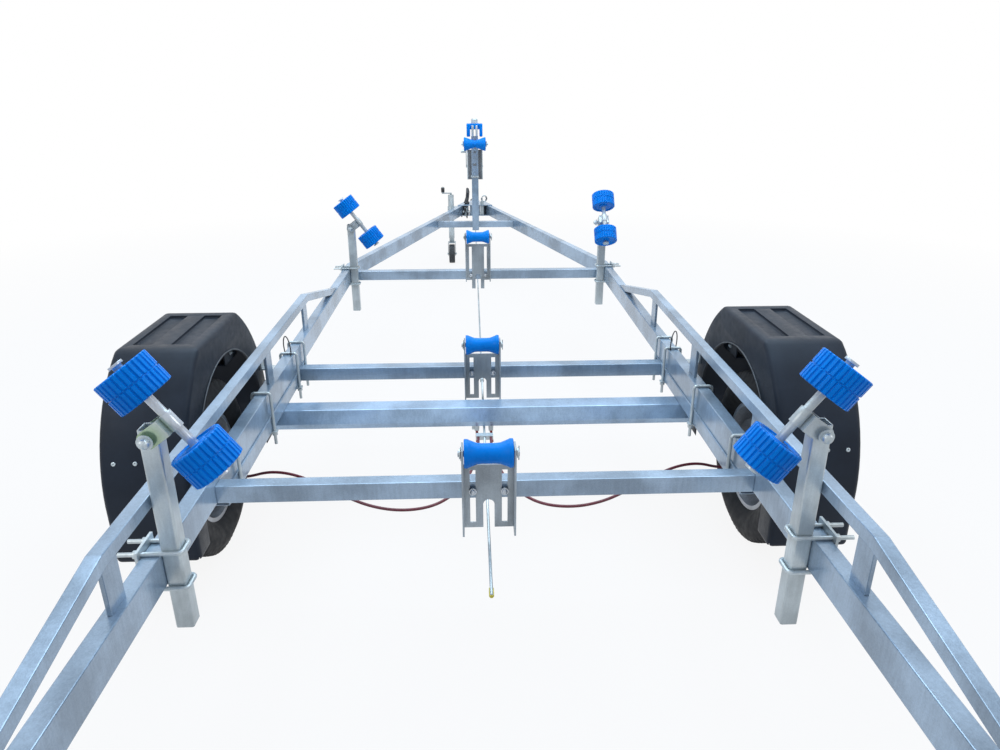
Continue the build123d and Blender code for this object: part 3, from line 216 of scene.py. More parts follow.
# ---- Pieces ----------------------------------------------------------------------------------
def add_piece(name, mesh, body, slot, material=None, replaces=()):
    """Links a finished mesh as a piece that rides on a body."""
    piece = bpy.data.objects.new(name, mesh)
    SCENE.collection.objects.link(piece)
    mesh.materials.clear()
    mesh.materials.append(material or MATERIALS[slot])
    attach(piece, body)
    if replaces:
        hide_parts(*replaces)


def shade_smooth(shape, sharp_from):
    """Shades every face smooth, except across edges that turn by more than an angle in degrees."""
    for face in shape.faces:
        face.smooth = True
    for edge in shape.edges:
        edge.smooth = not (len(edge.link_faces) == 2 and edge.calc_face_angle(0) > math.radians(sharp_from))


def mesh_from(name, make, sharp_from=35):
    """A mesh that a bmesh function fills."""
    shape = bmesh.new()
    make(shape)
    bmesh.ops.recalc_face_normals(shape, faces=shape.faces)
    shade_smooth(shape, sharp_from)
    mesh = bpy.data.meshes.new(name)
    shape.to_mesh(mesh)
    shape.free()
    return mesh


def add_made(name, make, body, slot, material=None, replaces=(), sharp_from=35):
    """A piece whose mesh a bmesh function fills."""
    add_piece(name, mesh_from(name, make, sharp_from), body, slot, material, replaces)


def turned(shape, place, axis, profile, steps, radius_at=None):
    """A closed ring profile of (along, radius) points turned about an axis; radius_at may vary it by angle."""
    axis = Vector(axis).normalized()
    side = axis.orthogonal().normalized()
    up = axis.cross(side)
    rings = []
    for step in range(steps):
        angle = 2 * math.pi * step / steps
        out = side * math.cos(angle) + up * math.sin(angle)
        ring = []
        for along, radius, *kind in profile:
            actual = radius_at(radius, angle, kind[0]) if radius_at and kind else radius
            ring.append(shape.verts.new(Vector(place) + axis * along + out * actual))
        rings.append(ring)
    for one, two in zip(rings, rings[1:] + rings[:1]):
        for low, high in zip(range(len(profile)), list(range(1, len(profile))) + [0]):
            shape.faces.new((one[low], one[high], two[high], two[low]))


def middle_of(low, high):
    return [(a + b) / 2 for a, b in zip(low, high)]


def block(shape, low, high, rounding=0.0):
    """A box between two corners with rounded edges."""
    size = [b - a for a, b in zip(low, high)]
    stretch = Matrix.Diagonal((*size, 1))
    made = bmesh.ops.create_cube(shape, size=1.0, matrix=Matrix.Translation(middle_of(low, high)) @ stretch)
    if rounding:
        edges = list({edge for vert in made["verts"] for edge in vert.link_edges})
        bmesh.ops.bevel(shape, geom=edges, offset=rounding, segments=3, profile=0.5, affect="EDGES")


def tube(shape, points, radii, steps=16):
    """A closed tube through points, each with its own radius."""
    points = [Vector(point) for point in points]
    side = None
    rings = []
    for index, (point, radius) in enumerate(zip(points, radii)):
        before, after = points[max(index - 1, 0)], points[min(index + 1, len(points) - 1)]
        along = (after - before).normalized()
        side = along.orthogonal().normalized() if side is None else (side - along * side.dot(along)).normalized()
        up = along.cross(side)
        ring = []
        for step in range(steps):
            angle = 2 * math.pi * step / steps
            ring.append(shape.verts.new(point + (side * math.cos(angle) + up * math.sin(angle)) * radius))
        rings.append(ring)
    for one, two in zip(rings, rings[1:]):
        for step in range(steps):
            other = (step + 1) % steps
            shape.faces.new((one[step], one[other], two[other], two[step]))
    shape.faces.new(rings[0])
    shape.faces.new(list(reversed(rings[-1])))


def dome(shape, place, axis, radius, height):
    """A bolt's washer and its domed nut, standing on a face."""
    turned(shape, place, axis, [
        (0.0, 0.0003), (0.0, radius * 1.45), (height * 0.14, radius * 1.45), (height * 0.14, radius),
        (height * 0.50, radius), (height * 0.78, radius * 0.82), (height * 0.94, radius * 0.48),
        (height, 0.0003)], 32)


# ---- Cables: each follows the route of its CAD solid
CABLE_ROUTE = (
    # x, y and z of the left cable in millimetres; the right one is its mirror image
    (-22, -1252, 282), (-22, -1345, 282), (-38, -1440, 278), (-62, -1535, 278), (-100, -1625, 279),
    (-162, -1695, 281), (-250, -1718, 284), (-340, -1694, 286), (-426, -1642, 293), (-512, -1580, 300),
    (-600, -1520, 303), (-690, -1466, 284), (-772, -1425, 243), (-832, -1402, 232), (-880, -1402, 232),
)
CABLE_DIAMETER = 0.009
for side, sign in SIDES:
    route = [(-sign * x / 1000, y / 1000, z / 1000) for x, y, z in CABLE_ROUTE]
    curve = bpy.data.curves.new(f"cable_{side}", "CURVE")
    curve.dimensions = "3D"
    curve.bevel_depth = CABLE_DIAMETER / 2
    curve.bevel_resolution = 6
    curve.resolution_u = 16
    curve.use_fill_caps = True
    spline = curve.splines.new("NURBS")
    spline.points.add(len(route) - 1)
    for point, place in zip(spline.points, route):
        point.co = (*place, 1.0)
    spline.order_u = 3
    spline.use_endpoint_u = True
    curve.materials.append(MATERIALS["cable_sheath"])
    cable = bpy.data.objects.new(f"cable_{side}", curve)
    SCENE.collection.objects.link(cable)
    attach(cable, "frame")
    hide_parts(f"brake_cable_{side}")

# ---- Side rollers: two fluted drums on each spindle, with a groove round the middle
DRUM_RADIUS, DRUM_HALF, DRUM_OFFSET, DRUM_BORE = 0.060, 0.037, 0.102, 0.01006
DRUM_SHOULDER = 0.0575
SEAM_HALF, SEAM_FLOOR_HALF, SEAM_DEPTH = 0.0020, 0.0012, 0.0028
FLUTES, FLUTE_DEPTH, STEPS_PER_FLUTE = 30, 0.0036, 8


def fluted(radius, angle, kind):
    """Cuts a shallow valley between ribs, where the profile has a kind; the groove's floor has none."""
    phase = (angle * FLUTES / (2 * math.pi)) % 1.0
    valley = max(0.0, math.cos(2 * math.pi * phase)) ** 0.7
    return radius - FLUTE_DEPTH * valley * kind


DRUM_PROFILE = [
    (-DRUM_HALF, DRUM_BORE), (-DRUM_HALF, 0.022), (-DRUM_HALF + 0.004, 0.024), (-DRUM_HALF + 0.004, 0.047),
    (-DRUM_HALF, 0.050), (-DRUM_HALF, DRUM_SHOULDER, 1.0), (-DRUM_HALF + 0.002, DRUM_RADIUS, 1.0),
    (-SEAM_HALF, DRUM_RADIUS, 1.0), (-SEAM_FLOOR_HALF, DRUM_RADIUS - SEAM_DEPTH),
    (SEAM_FLOOR_HALF, DRUM_RADIUS - SEAM_DEPTH), (SEAM_HALF, DRUM_RADIUS, 1.0),
    (DRUM_HALF - 0.002, DRUM_RADIUS, 1.0), (DRUM_HALF, DRUM_SHOULDER, 1.0),
    (DRUM_HALF, 0.050), (DRUM_HALF - 0.004, 0.047), (DRUM_HALF - 0.004, 0.024), (DRUM_HALF, 0.022),
    (DRUM_HALF, DRUM_BORE),
]
for corner in CORNERS:
    joint = JOINTS[f"rollers_{corner}_spin"]
    axis = Vector(joint["axis"]).normalized()

    def make_drums(shape):
        for end in (-1, 1):
            place = Vector(joint["pos_m"]) + axis * end * DRUM_OFFSET
            turned(shape, place, axis, DRUM_PROFILE, FLUTES * STEPS_PER_FLUTE, fluted)

    add_made(f"fluted_rollers_{corner}", make_drums, f"rollers_{corner}", "blue_roller",
             replaces=[f"side_rollers_{corner}"], sharp_from=28)

# ---- Keel rollers: flat ends, cones and a straight waist
ROLLER_BORE, ROLLER_FACE, ROLLER_STEPS = 0.0082, 0.020, 96
WAIST_SHARE = 0.70
for row in ROWS:
    low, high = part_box(f"keel_roller_{row}")
    middle = middle_of(low, high)
    half = (high[0] - low[0]) / 2
    end_radius = (high[2] - low[2]) / 2
    waist = end_radius * WAIST_SHARE
    right_side = [(0.018, waist), (0.030, waist + 0.0012), (half - 0.013, end_radius - 0.0022),
                  (half - 0.009, end_radius), (half - 0.0015, end_radius), (half, end_radius - 0.0015)]
    outline = [(half, ROLLER_BORE), (half, ROLLER_FACE)] + list(reversed(right_side))
    outline += [(-along, radius) for along, radius in right_side] + [(-half, ROLLER_FACE), (-half, ROLLER_BORE)]
    add_made(f"waisted_roller_{row}", lambda shape: turned(shape, middle, (1, 0, 0), outline, ROLLER_STEPS),
             f"keel_roller_{row}", "blue_roller", replaces=[f"keel_roller_{row}"], sharp_from=40)

# ---- Bow roller: two cones that meet at a slightly raised seam
low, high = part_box("bow_roller")
middle = middle_of(low, high)
half, end_radius = (high[0] - low[0]) / 2, (high[2] - low[2]) / 2
vee = [(0.0015, 0.0255), (0.003, 0.0245), (half - 0.012, end_radius - 0.002), (half - 0.004, end_radius),
       (half, end_radius - 0.003)]
outline = [(half, ROLLER_BORE)] + list(reversed(vee))
outline += [(-along, radius) for along, radius in vee] + [(-half, ROLLER_BORE)]
add_made("vee_roller", lambda shape: turned(shape, middle, (1, 0, 0), outline, ROLLER_STEPS),
         "bow_roller", "blue_roller", replaces=["bow_roller"], sharp_from=40)

# ---- Bow stop: two blue cheeks either side of a steel tongue, under a pale cap
low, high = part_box("bow_stop")
CAP_HEIGHT, CAP_RADIUS = 0.034, 0.024
LEFT_CHEEK_INNER, RIGHT_CHEEK_INNER = -0.032, 0.036
body_top = high[2] - CAP_HEIGHT


def make_cheeks(shape):
    block(shape, (low[0], low[1], low[2]), (LEFT_CHEEK_INNER, high[1], body_top), 0.006)
    block(shape, (RIGHT_CHEEK_INNER, low[1], low[2]), (high[0], high[1], body_top), 0.006)
    # the bridge runs 2 mm into each cheek
    block(shape, (-0.034, low[1] + 0.020, body_top - 0.040), (0.038, high[1] - 0.002, body_top), 0.003)


def make_tongue(shape):
    for left, right in ((-0.022, -0.006), (0.008, 0.022)):
        block(shape, (left, low[1] + 0.012, low[2]), (right, high[1] - 0.004, body_top - 0.012), 0.002)
    turned(shape, (0, (low[1] + high[1]) / 2 + 0.010, body_top), (0, 0, 1),
           [(0.0, 0.001), (0.0, CAP_RADIUS), (CAP_HEIGHT - 0.006, CAP_RADIUS), (CAP_HEIGHT, 0.016),
            (CAP_HEIGHT, 0.001)], 48)


add_made("stop_cheeks", make_cheeks, "frame", "blue_roller", replaces=["bow_stop"])
add_made("stop_tongue", make_tongue, "frame", "zinc_plate")

# ---- Winch: bright flanges, a strap and bolts on the post, and dark sheets as painted shade in the slots, among them the slot for its webbing
SMALL_BOLT_RADIUS, SMALL_BOLT_HEIGHT = 0.006, 0.008
low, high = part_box("winch_frame")
post_low, post_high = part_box("winch_post")


def make_flanges(shape):
    for sign in (-1, 1):
        inner, outer = sorted((sign * (high[0] - 0.0075), sign * (high[0] + 0.0005)))
        block(shape, (inner, low[1] - 0.004, low[2]), (outer, low[1] + 0.002, high[2]), 0.001)
    block(shape, (post_low[0] - 0.004, post_low[1] - 0.004, low[2] + 0.016),
          (post_high[0] + 0.004, low[1] + 0.001, low[2] + 0.032), 0.002)
    for x in (-0.015, 0.015):
        dome(shape, (x, post_low[1] - 0.004, low[2] + 0.024), (0, -1, 0), SMALL_BOLT_RADIUS, SMALL_BOLT_HEIGHT)


# Dark sheets on the post's and the frame's faces: painted shade that stands in for the shaded insides of the slots.
def make_slot_shades(shape):
    block(shape, (-0.010, post_low[1] - 0.0012, high[2] - 0.020),
          (0.008, post_low[1] + 0.001, high[2] - 0.006), 0.0004)
    block(shape, (-0.016, post_low[1] - 0.0050, high[2] - 0.110),
          (0.010, post_low[1] + 0.001, high[2] - 0.096), 0.0015)
    for sign in (-1, 1):
        inner, outer = sorted((sign * (post_high[0] + 0.006), sign * (high[0] - 0.010)))
        block(shape, (inner, low[1] - 0.0015, low[2] + 0.020), (outer, low[1] + 0.001, high[2] - 0.050), 0.0006)


add_made("winch_flanges", make_flanges, "frame", "zinc_plate")
add_made("winch_slot_shades", make_slot_shades, "frame", "zinc_plate", DARK_STEEL)

# ---- Coupling: the lever's grip, its ratchet and spring, a shackle and the plate it stands on
low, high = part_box("handbrake_lever")
lever_x = (low[0] + high[0]) / 2
grip_y = (low[1] + high[1]) / 2


def make_grip(shape):
    top = high[2]
    tube(shape, [(lever_x - 0.006, high[1] - 0.016, top + 0.004), (lever_x, high[1] - 0.016, top - 0.004),
                 (lever_x + 0.002, high[1] - 0.018, top - 0.030), (lever_x - 0.002, grip_y + 0.006, top - 0.070),
                 (lever_x - 0.010, grip_y - 0.004, top - 0.100), (lever_x - 0.016, grip_y - 0.010, low[2] + 0.004)],
         [0.005, 0.012, 0.015, 0.015, 0.017, 0.020], 20)


add_made("lever_grip", make_grip, "frame", "coupling_paint", BLACK_GRIP)
box_low, box_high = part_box("overrun_box")
plate_top, plate_bottom, plate_rear = box_high[2], box_low[2], box_low[1]
SHACKLE_X = 0.062


def make_ratchet(shape):
    block(shape, (lever_x - 0.012, plate_rear - 0.014, plate_bottom - 0.018),
          (lever_x - 0.002, plate_rear + 0.020, plate_top - 0.010), 0.003)
    block(shape, (lever_x - 0.046, plate_rear - 0.012, plate_bottom + 0.030),
          (lever_x + 0.014, plate_rear + 0.010, plate_bottom + 0.048), 0.004)
    turned(shape, (lever_x - 0.030, plate_rear - 0.004, plate_bottom + 0.060), (1, 0, 0),
           [(0.0, 0.004), (0.0, 0.022), (0.012, 0.022), (0.012, 0.004)], 24)
    tube(shape, [(lever_x - 0.040, plate_rear - 0.010, plate_bottom + 0.020),
                 (lever_x - 0.060, plate_rear - 0.006, plate_bottom + 0.004),
                 (lever_x - 0.050, plate_rear, plate_bottom - 0.006)], [0.005, 0.006, 0.005], 12)


def make_spring(shape):
    start = Vector((lever_x - 0.022, plate_rear - 0.006, plate_bottom - 0.004))
    length, lean, turns, coil_radius, wire = 0.075, 0.014, 7, 0.009, 0.0021
    points, steps = [], turns * 12
    for step in range(steps + 1):
        angle = 2 * math.pi * turns * step / steps
        points.append(start + Vector((coil_radius * math.cos(angle) + lean * step / steps,
                                      coil_radius * math.sin(angle), length * step / steps)))
    tube(shape, points, [wire] * len(points), 8)
    for x in (lever_x + 0.004, lever_x - 0.036):
        dome(shape, (x, plate_rear - 0.013, plate_bottom + 0.039), (0, -1, 0), SMALL_BOLT_RADIUS, SMALL_BOLT_HEIGHT)


def make_shackle(shape):
    x, y = SHACKLE_X, plate_rear + 0.010
    block(shape, (x - 0.016, y, plate_bottom + 0.006), (x + 0.014, y + 0.006, plate_top + 0.030), 0.002)
    centre = Vector((x + 0.018, y + 0.003, plate_top + 0.052))
    ring = [centre + Vector((0.020 * math.cos(a), 0.0, 0.024 * math.sin(a)))
            for a in [math.radians(angle) for angle in range(-150, 151, 15)]]
    tube(shape, ring, [0.0050] * len(ring), 12)
    tube(shape, [(x - 0.006, y + 0.003, plate_top + 0.020), (x - 0.002, y + 0.003, plate_top + 0.052)],
         [0.006, 0.006], 12)


def make_shackle_pin(shape):
    x, y = SHACKLE_X, plate_rear + 0.013
    tube(shape, [(x - 0.010, y, plate_top + 0.052), (x + 0.004, y, plate_top + 0.052)], [0.0085, 0.0085], 16)
    tube(shape, [(x + 0.031, y, plate_top + 0.036), (x + 0.039, y, plate_top + 0.052),
                 (x + 0.032, y, plate_top + 0.070)], [0.0065, 0.0070, 0.0060], 12)


add_made("ratchet", make_ratchet, "frame", "coupling_paint", BLACK_GRIP)
add_made("brake_spring", make_spring, "frame", "zinc_plate")
add_made("shackle", make_shackle, "frame", "zinc_plate")
add_made("shackle_pin", make_shackle_pin, "frame", "coupling_paint", DARK_STEEL)

# ---- Jockey wheel: a black knob on the crank
low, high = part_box("jockey_crank")
knob_x = low[0] + 0.013
knob_y = (low[1] + high[1]) / 2
knob_profile = [(0.0, 0.0004), (0.0, 0.010), (0.006, 0.0140), (0.022, 0.0150), (0.038, 0.0150), (0.047, 0.0110),
                (0.049, 0.0004)]
add_made("crank_knob", lambda shape: turned(shape, (knob_x, knob_y, high[2] - 0.046), (0, 0, 1), knob_profile, 32),
         "jockey_tube", "jockey_rubber", BLACK_GRIP)

# ---- Under the axle: two cable ferrules on their bracket, each with a red boot
FERRULES = (-0.026, 0.025)
axle_low, axle_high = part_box("axle_tube")
axle_y = (axle_low[1] + axle_high[1]) / 2
axle_under = axle_low[2]


def make_ferrules(shape):
    block(shape, (-0.044, axle_y - 0.016, axle_under - 0.006),
          (0.036, axle_y + 0.016, axle_under + 0.001), 0.001)
    block(shape, (-0.044, axle_y - 0.004, axle_under - 0.032),
          (-0.034, axle_y + 0.016, axle_under), 0.001)
    for x in FERRULES:
        turned(shape, (x, axle_y - 0.006, axle_under - 0.034), (0, 0, 1),
               [(0.0, 0.0005), (0.0, 0.0085), (0.026, 0.0100), (0.034, 0.0100), (0.034, 0.0005)], 24)
    dome(shape, (0.0, axle_y - 0.017, axle_under - 0.003), (0, -1, 0), 0.005, 0.006)


def make_boots(shape):
    for x, lean in zip(FERRULES, (0.000, 0.004)):
        tube(shape, [(x, axle_y - 0.006, axle_under - 0.032), (x + lean / 2, axle_y - 0.030, axle_under - 0.046),
                     (x + lean, axle_y - 0.066, axle_under - 0.050)], [0.0050, 0.0048, 0.0042], 12)


add_made("cable_ferrules", make_ferrules, "frame", "zinc_plate")
add_made("cable_boots", make_boots, "frame", "cable_sheath", RED_BOOT)

# ---- Swivels: a domed nut on the face of each bracket
SWIVEL_NUT_RADIUS, SWIVEL_NUT_HEIGHT = 0.0115, 0.016
for corner in CORNERS:
    joint = JOINTS[f"swivel_{corner}"]
    low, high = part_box(f"swivel_bracket_{corner}")
    axis = Vector(joint["axis"]).normalized()
    place = Vector(joint["pos_m"])
    if abs(axis.y) > 0.5:
        place.y, facing = low[1], Vector((0, -1, 0))
    else:
        place.x, facing = low[0], Vector((-1, 0, 0))

    def make_nuts(shape):
        dome(shape, place, facing, SWIVEL_NUT_RADIUS, SWIVEL_NUT_HEIGHT)

    add_made(f"swivel_nut_{corner}", make_nuts, f"swivel_{corner}", "zinc_plate")

# ---- Tyres: ribbed tread with slanted cuts, rounded shoulders and a fine sidewall ring
TREAD_STEPS = 288
# places across the tread, and what a groove and a cut across the ribs measure
TREAD_GROOVES = (0.045, 0.016, -0.016, -0.045)
GROOVE_HALF, GROOVE_FLOOR_HALF, GROOVE_DEPTH = 0.0042, 0.0030, 0.0075
SIPES, SIPE_DEPTH, SIPE_SHARE = 72, 0.0045, 0.26


def sipes(radius, angle, kind):
    """Narrow cuts across the ribs."""
    phase = (angle * SIPES / (2 * math.pi)) % 1.0
    return radius - SIPE_DEPTH * kind * (1.0 if phase < SIPE_SHARE else 0.0)


for side, _ in SIDES:
    low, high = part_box(f"tyre_{side}")
    middle = middle_of(low, high)
    half, radius = (high[0] - low[0]) / 2, (high[2] - low[2]) / 2
    right_half = [(0.062, 0.168), (0.063, 0.178), (0.070, 0.184), (0.080, 0.200), (half - 0.001, 0.222),
                  (half, 0.232), (half - 0.002, 0.248), (0.078, 0.262), (0.072, radius - 0.008, 0.4),
                  (0.066, radius - 0.003, 1.0)]
    tread = []
    for groove in TREAD_GROOVES:
        tread += [(groove + GROOVE_HALF, radius - 0.0005, 1.0), (groove + GROOVE_FLOOR_HALF, radius - GROOVE_DEPTH),
                  (groove - GROOVE_FLOOR_HALF, radius - GROOVE_DEPTH), (groove - GROOVE_HALF, radius - 0.0005, 1.0)]
    tread.insert(len(tread) // 2, (0.0, radius, 0.3))
    left_half = [(-along, r, *kind) for along, r, *kind in reversed(right_half)]
    outline = right_half + tread + left_half

    add_made(f"treaded_tyre_{side}", lambda shape: turned(shape, middle, (1, 0, 0), outline, TREAD_STEPS, sipes),
             f"wheel_{side}", "tyre", replaces=[f"tyre_{side}"], sharp_from=38)


# ---- Fenders: the CAD shell's own outline with moulded round edges, and two trays sunk in the top
CROWN, BULGE, HIP, SKIRT = (0.1875, 0.420), (0.345, 0.262), (0.412, 0.0), (0.412, -0.150)
FENDER_WALL, ARCH_RADIUS, OUTER_ROUNDING = 0.005, 0.330, 0.016
TRAY_OFFSET, TRAY_HALF_WIDTH, TRAY_HALF_LENGTH, TRAY_DEPTH = 0.055, 0.028, 0.146, 0.009
RIVET_X, RIVET_Y, RIVET_Z, RIVET_LEAN = (0.9617, 1.0200), -1.7405, 0.4660, (0, -0.95, 0.30)
ARCH_EDGE_RADIUS, ARCH_EDGE_THICKNESS = ARCH_RADIUS + 0.003, 0.0024
# the angle plate in each arch, from the arch's centre: an upright leaf and a shelf, as (depth, bottom, top)
PLATE_INSET, PLATE_REAR, PLATE_FRONT, PLATE_BOLT = 0.030, 0.090, 0.215, (0.150, 0.290)
PLATE_LEAVES = ((0.004, 0.262, 0.330), (0.030, 0.262, 0.266))
# a wire loop that stands on each main beam
LOOP_PLACE, LOOP_HALF_WIDTH, LOOP_HALF_LENGTH, LOOP_HALF_HEIGHT = (0.733, -0.930, 0.5135), 0.020, 0.030, 0.044
LOOP_WIRE = 0.0022


def arc_points(start, through, end, count):
    """Points of the circle arc from one point through another to a third."""
    (ax, ay), (bx, by), (cx, cy) = start, through, end
    d = 2 * (ax * (by - cy) + bx * (cy - ay) + cx * (ay - by))
    ux = ((ax**2 + ay**2) * (by - cy) + (bx**2 + by**2) * (cy - ay) + (cx**2 + cy**2) * (ay - by)) / d
    uy = ((ax**2 + ay**2) * (cx - bx) + (bx**2 + by**2) * (ax - cx) + (cx**2 + cy**2) * (bx - ax)) / d
    radius = math.hypot(ax - ux, ay - uy)
    first, last = math.atan2(ay - uy, ax - ux), math.atan2(cy - uy, cx - ux)
    angles = [first + (last - first) * step / count for step in range(count + 1)]
    return [(ux + radius * math.cos(angle), uy + radius * math.sin(angle)) for angle in angles]


def fender_prism(shape, centre, half_width, inset, rounding):
    """The fender's side outline, drawn in by a wall and run across, with its edges rounded."""
    crown = (CROWN[0] - inset / 2, CROWN[1] - inset)
    bulge = (BULGE[0] - inset, BULGE[1] - inset)
    hip, skirt = (HIP[0] - inset, 0.0), (SKIRT[0] - inset, SKIRT[1])
    right = arc_points(crown, bulge, hip, 14) + [skirt]
    outline = right + [(-y, z) for y, z in reversed(right)]
    rows = [[shape.verts.new((centre[0] + end * (half_width - inset), centre[1] + y, centre[2] + z))
             for y, z in outline] for end in (-1, 1)]
    count = len(outline)
    shape.faces.new(rows[0])
    shape.faces.new(list(reversed(rows[1])))
    for index in range(count):
        other = (index + 1) % count
        shape.faces.new((rows[0][index], rows[1][index], rows[1][other], rows[0][other]))
    bmesh.ops.recalc_face_normals(shape, faces=shape.faces)
    sharp = [edge for edge in shape.edges if edge.calc_face_angle(0) > math.radians(12)]
    bmesh.ops.bevel(shape, geom=sharp, offset=rounding, segments=5, profile=0.5, affect="EDGES")


def carved(name, mesh, tools, rounding):
    """A mesh joined with and cut by other meshes, in turn, and then slightly rounded."""
    holder = bpy.data.objects.new(name, mesh)
    SCENE.collection.objects.link(holder)
    helpers = []
    for operation, tool in tools:
        helper = bpy.data.objects.new("tool", tool)
        SCENE.collection.objects.link(helper)
        helpers.append(helper)
        step = holder.modifiers.new("step", "BOOLEAN")
        step.operation, step.object, step.solver = operation, helper, "EXACT"
    edge = holder.modifiers.new("edge", "BEVEL")
    edge.width, edge.segments, edge.limit_method, edge.angle_limit = rounding, 2, "ANGLE", math.radians(40)
    view = bpy.context.evaluated_depsgraph_get()
    made = bpy.data.meshes.new_from_object(holder.evaluated_get(view))
    for thing in helpers + [holder]:
        bpy.data.objects.remove(thing)
    shape = bmesh.new()
    shape.from_mesh(made)
    shade_smooth(shape, 32)
    shape.to_mesh(made)
    shape.free()
    return made


for side, sign in SIDES:
    low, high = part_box(f"fender_{side}")
    half_width = (high[0] - low[0]) / 2
    centre = ((low[0] + high[0]) / 2, (low[1] + high[1]) / 2, high[2] - CROWN[1])

    def outer(shape):
        fender_prism(shape, centre, half_width, 0.0, OUTER_ROUNDING)

    def inner(shape):
        fender_prism(shape, centre, half_width, FENDER_WALL, OUTER_ROUNDING - FENDER_WALL)

    def below(shape):
        block(shape, (low[0] + FENDER_WALL, low[1] + FENDER_WALL, centre[2] - 0.20),
              (high[0] - FENDER_WALL, high[1] - FENDER_WALL, centre[2] - 0.02))

    def arch(shape):
        turned(shape, (low[0] - 0.05, centre[1], centre[2]), (1, 0, 0),
               [(0.0, 0.001), (0.0, ARCH_RADIUS), (0.40, ARCH_RADIUS), (0.40, 0.001)], 96)

    def arch_foot(shape):
        block(shape, (low[0] - 0.05, centre[1] - ARCH_RADIUS, centre[2] - 0.30),
              (high[0] + 0.05, centre[1] + ARCH_RADIUS, centre[2] + 0.002))

    def tray_backs(shape):
        for offset in (-TRAY_OFFSET, TRAY_OFFSET):
            block(shape, (centre[0] + offset - TRAY_HALF_WIDTH - FENDER_WALL,
                          centre[1] - TRAY_HALF_LENGTH - FENDER_WALL, high[2] - TRAY_DEPTH - FENDER_WALL),
                  (centre[0] + offset + TRAY_HALF_WIDTH + FENDER_WALL,
                   centre[1] + TRAY_HALF_LENGTH + FENDER_WALL, high[2] - 0.002))

    def trays(shape):
        for offset in (-TRAY_OFFSET, TRAY_OFFSET):
            block(shape, (centre[0] + offset - TRAY_HALF_WIDTH, centre[1] - TRAY_HALF_LENGTH, high[2] - TRAY_DEPTH),
                  (centre[0] + offset + TRAY_HALF_WIDTH, centre[1] + TRAY_HALF_LENGTH, high[2] + 0.02), 0.004)

    mesh = carved(f"fender_shell_{side}", mesh_from("outer", outer), [
        ("DIFFERENCE", mesh_from("inner", inner)), ("DIFFERENCE", mesh_from("below", below)),
        ("UNION", mesh_from("tray_backs", tray_backs)), ("DIFFERENCE", mesh_from("trays", trays)),
        ("DIFFERENCE", mesh_from("arch", arch)), ("DIFFERENCE", mesh_from("arch_foot", arch_foot)),
    ], 0.0012)
    add_piece(f"fender_shell_{side}", mesh, "frame", "fender_plastic", replaces=[f"fender_{side}"])

    inner_x = sign * (min(abs(low[0]), abs(high[0])) - 0.0005)
    plate_x = inner_x + sign * PLATE_INSET

    def make_rivets(shape):
        dome(shape, (plate_x, centre[1] + PLATE_BOLT[0], centre[2] + PLATE_BOLT[1]), (-sign, 0, 0), 0.007, 0.007)
        for x in RIVET_X:
            turned(shape, (sign * x, RIVET_Y, RIVET_Z), RIVET_LEAN, [
                (-0.004, 0.0016), (-0.004, 0.0060), (0.0012, 0.0060), (0.0022, 0.0050), (0.0026, 0.0035),
                (0.0016, 0.0016)], 24)

    add_made(f"fender_rivets_{side}", make_rivets, "frame", "zinc_plate")

    rim_angles = [math.radians(angle) for angle in range(0, 181, 4)]

    def make_arch_edge(shape):
        points = [(inner_x, centre[1] + ARCH_EDGE_RADIUS * math.cos(a), centre[2] + ARCH_EDGE_RADIUS * math.sin(a))
                  for a in rim_angles]
        tube(shape, points, [ARCH_EDGE_THICKNESS] * len(points), 8)

    def make_arch_plate(shape):
        for depth, bottom, top in PLATE_LEAVES:
            near, far = sorted((plate_x, plate_x + sign * depth))
            block(shape, (near, centre[1] + PLATE_REAR, centre[2] + bottom),
                  (far, centre[1] + PLATE_FRONT, centre[2] + top), 0.001)

    # the bead's lighter colour is a painted highlight round the arch
    add_made(f"arch_edge_highlight_{side}", make_arch_edge, "frame", "fender_plastic", ARCH_EDGE_HIGHLIGHT)
    add_made(f"arch_plate_{side}", make_arch_plate, "frame", "fender_plastic")

    def make_loop(shape):
        middle = Vector((sign * LOOP_PLACE[0], *LOOP_PLACE[1:]))
        points = [middle + Vector((sign * LOOP_HALF_WIDTH * math.cos(a), LOOP_HALF_LENGTH * math.cos(a),
                                   LOOP_HALF_HEIGHT * math.sin(a)))
                  for a in [math.radians(angle) for angle in range(-35, 216, 10)]]
        tube(shape, points, [LOOP_WIRE] * len(points), 8)

    add_made(f"wire_loop_{side}", make_loop, "frame", "cable_sheath", BLACK_GRIP)

# ---- Brake rod's coloured tip
low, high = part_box("brake_rod")
ROD_RADIUS, TIP_RADIUS, TIP_LENGTH = 0.004, 0.0062, 0.033
rod_z = low[2] + ROD_RADIUS
tip_profile = [(0.0, 0.0005), (0.0, 0.0042), (0.003, TIP_RADIUS), (0.030, TIP_RADIUS), (TIP_LENGTH, 0.0045),
               (TIP_LENGTH, 0.0005)]
rod_rear = low[1]
add_made("rod_tip", lambda shape: turned(shape, (0, rod_rear - 0.001, rod_z), (0, 1, 0), tip_profile, 32),
         "frame", "board_plastic", YELLOW_TIP)

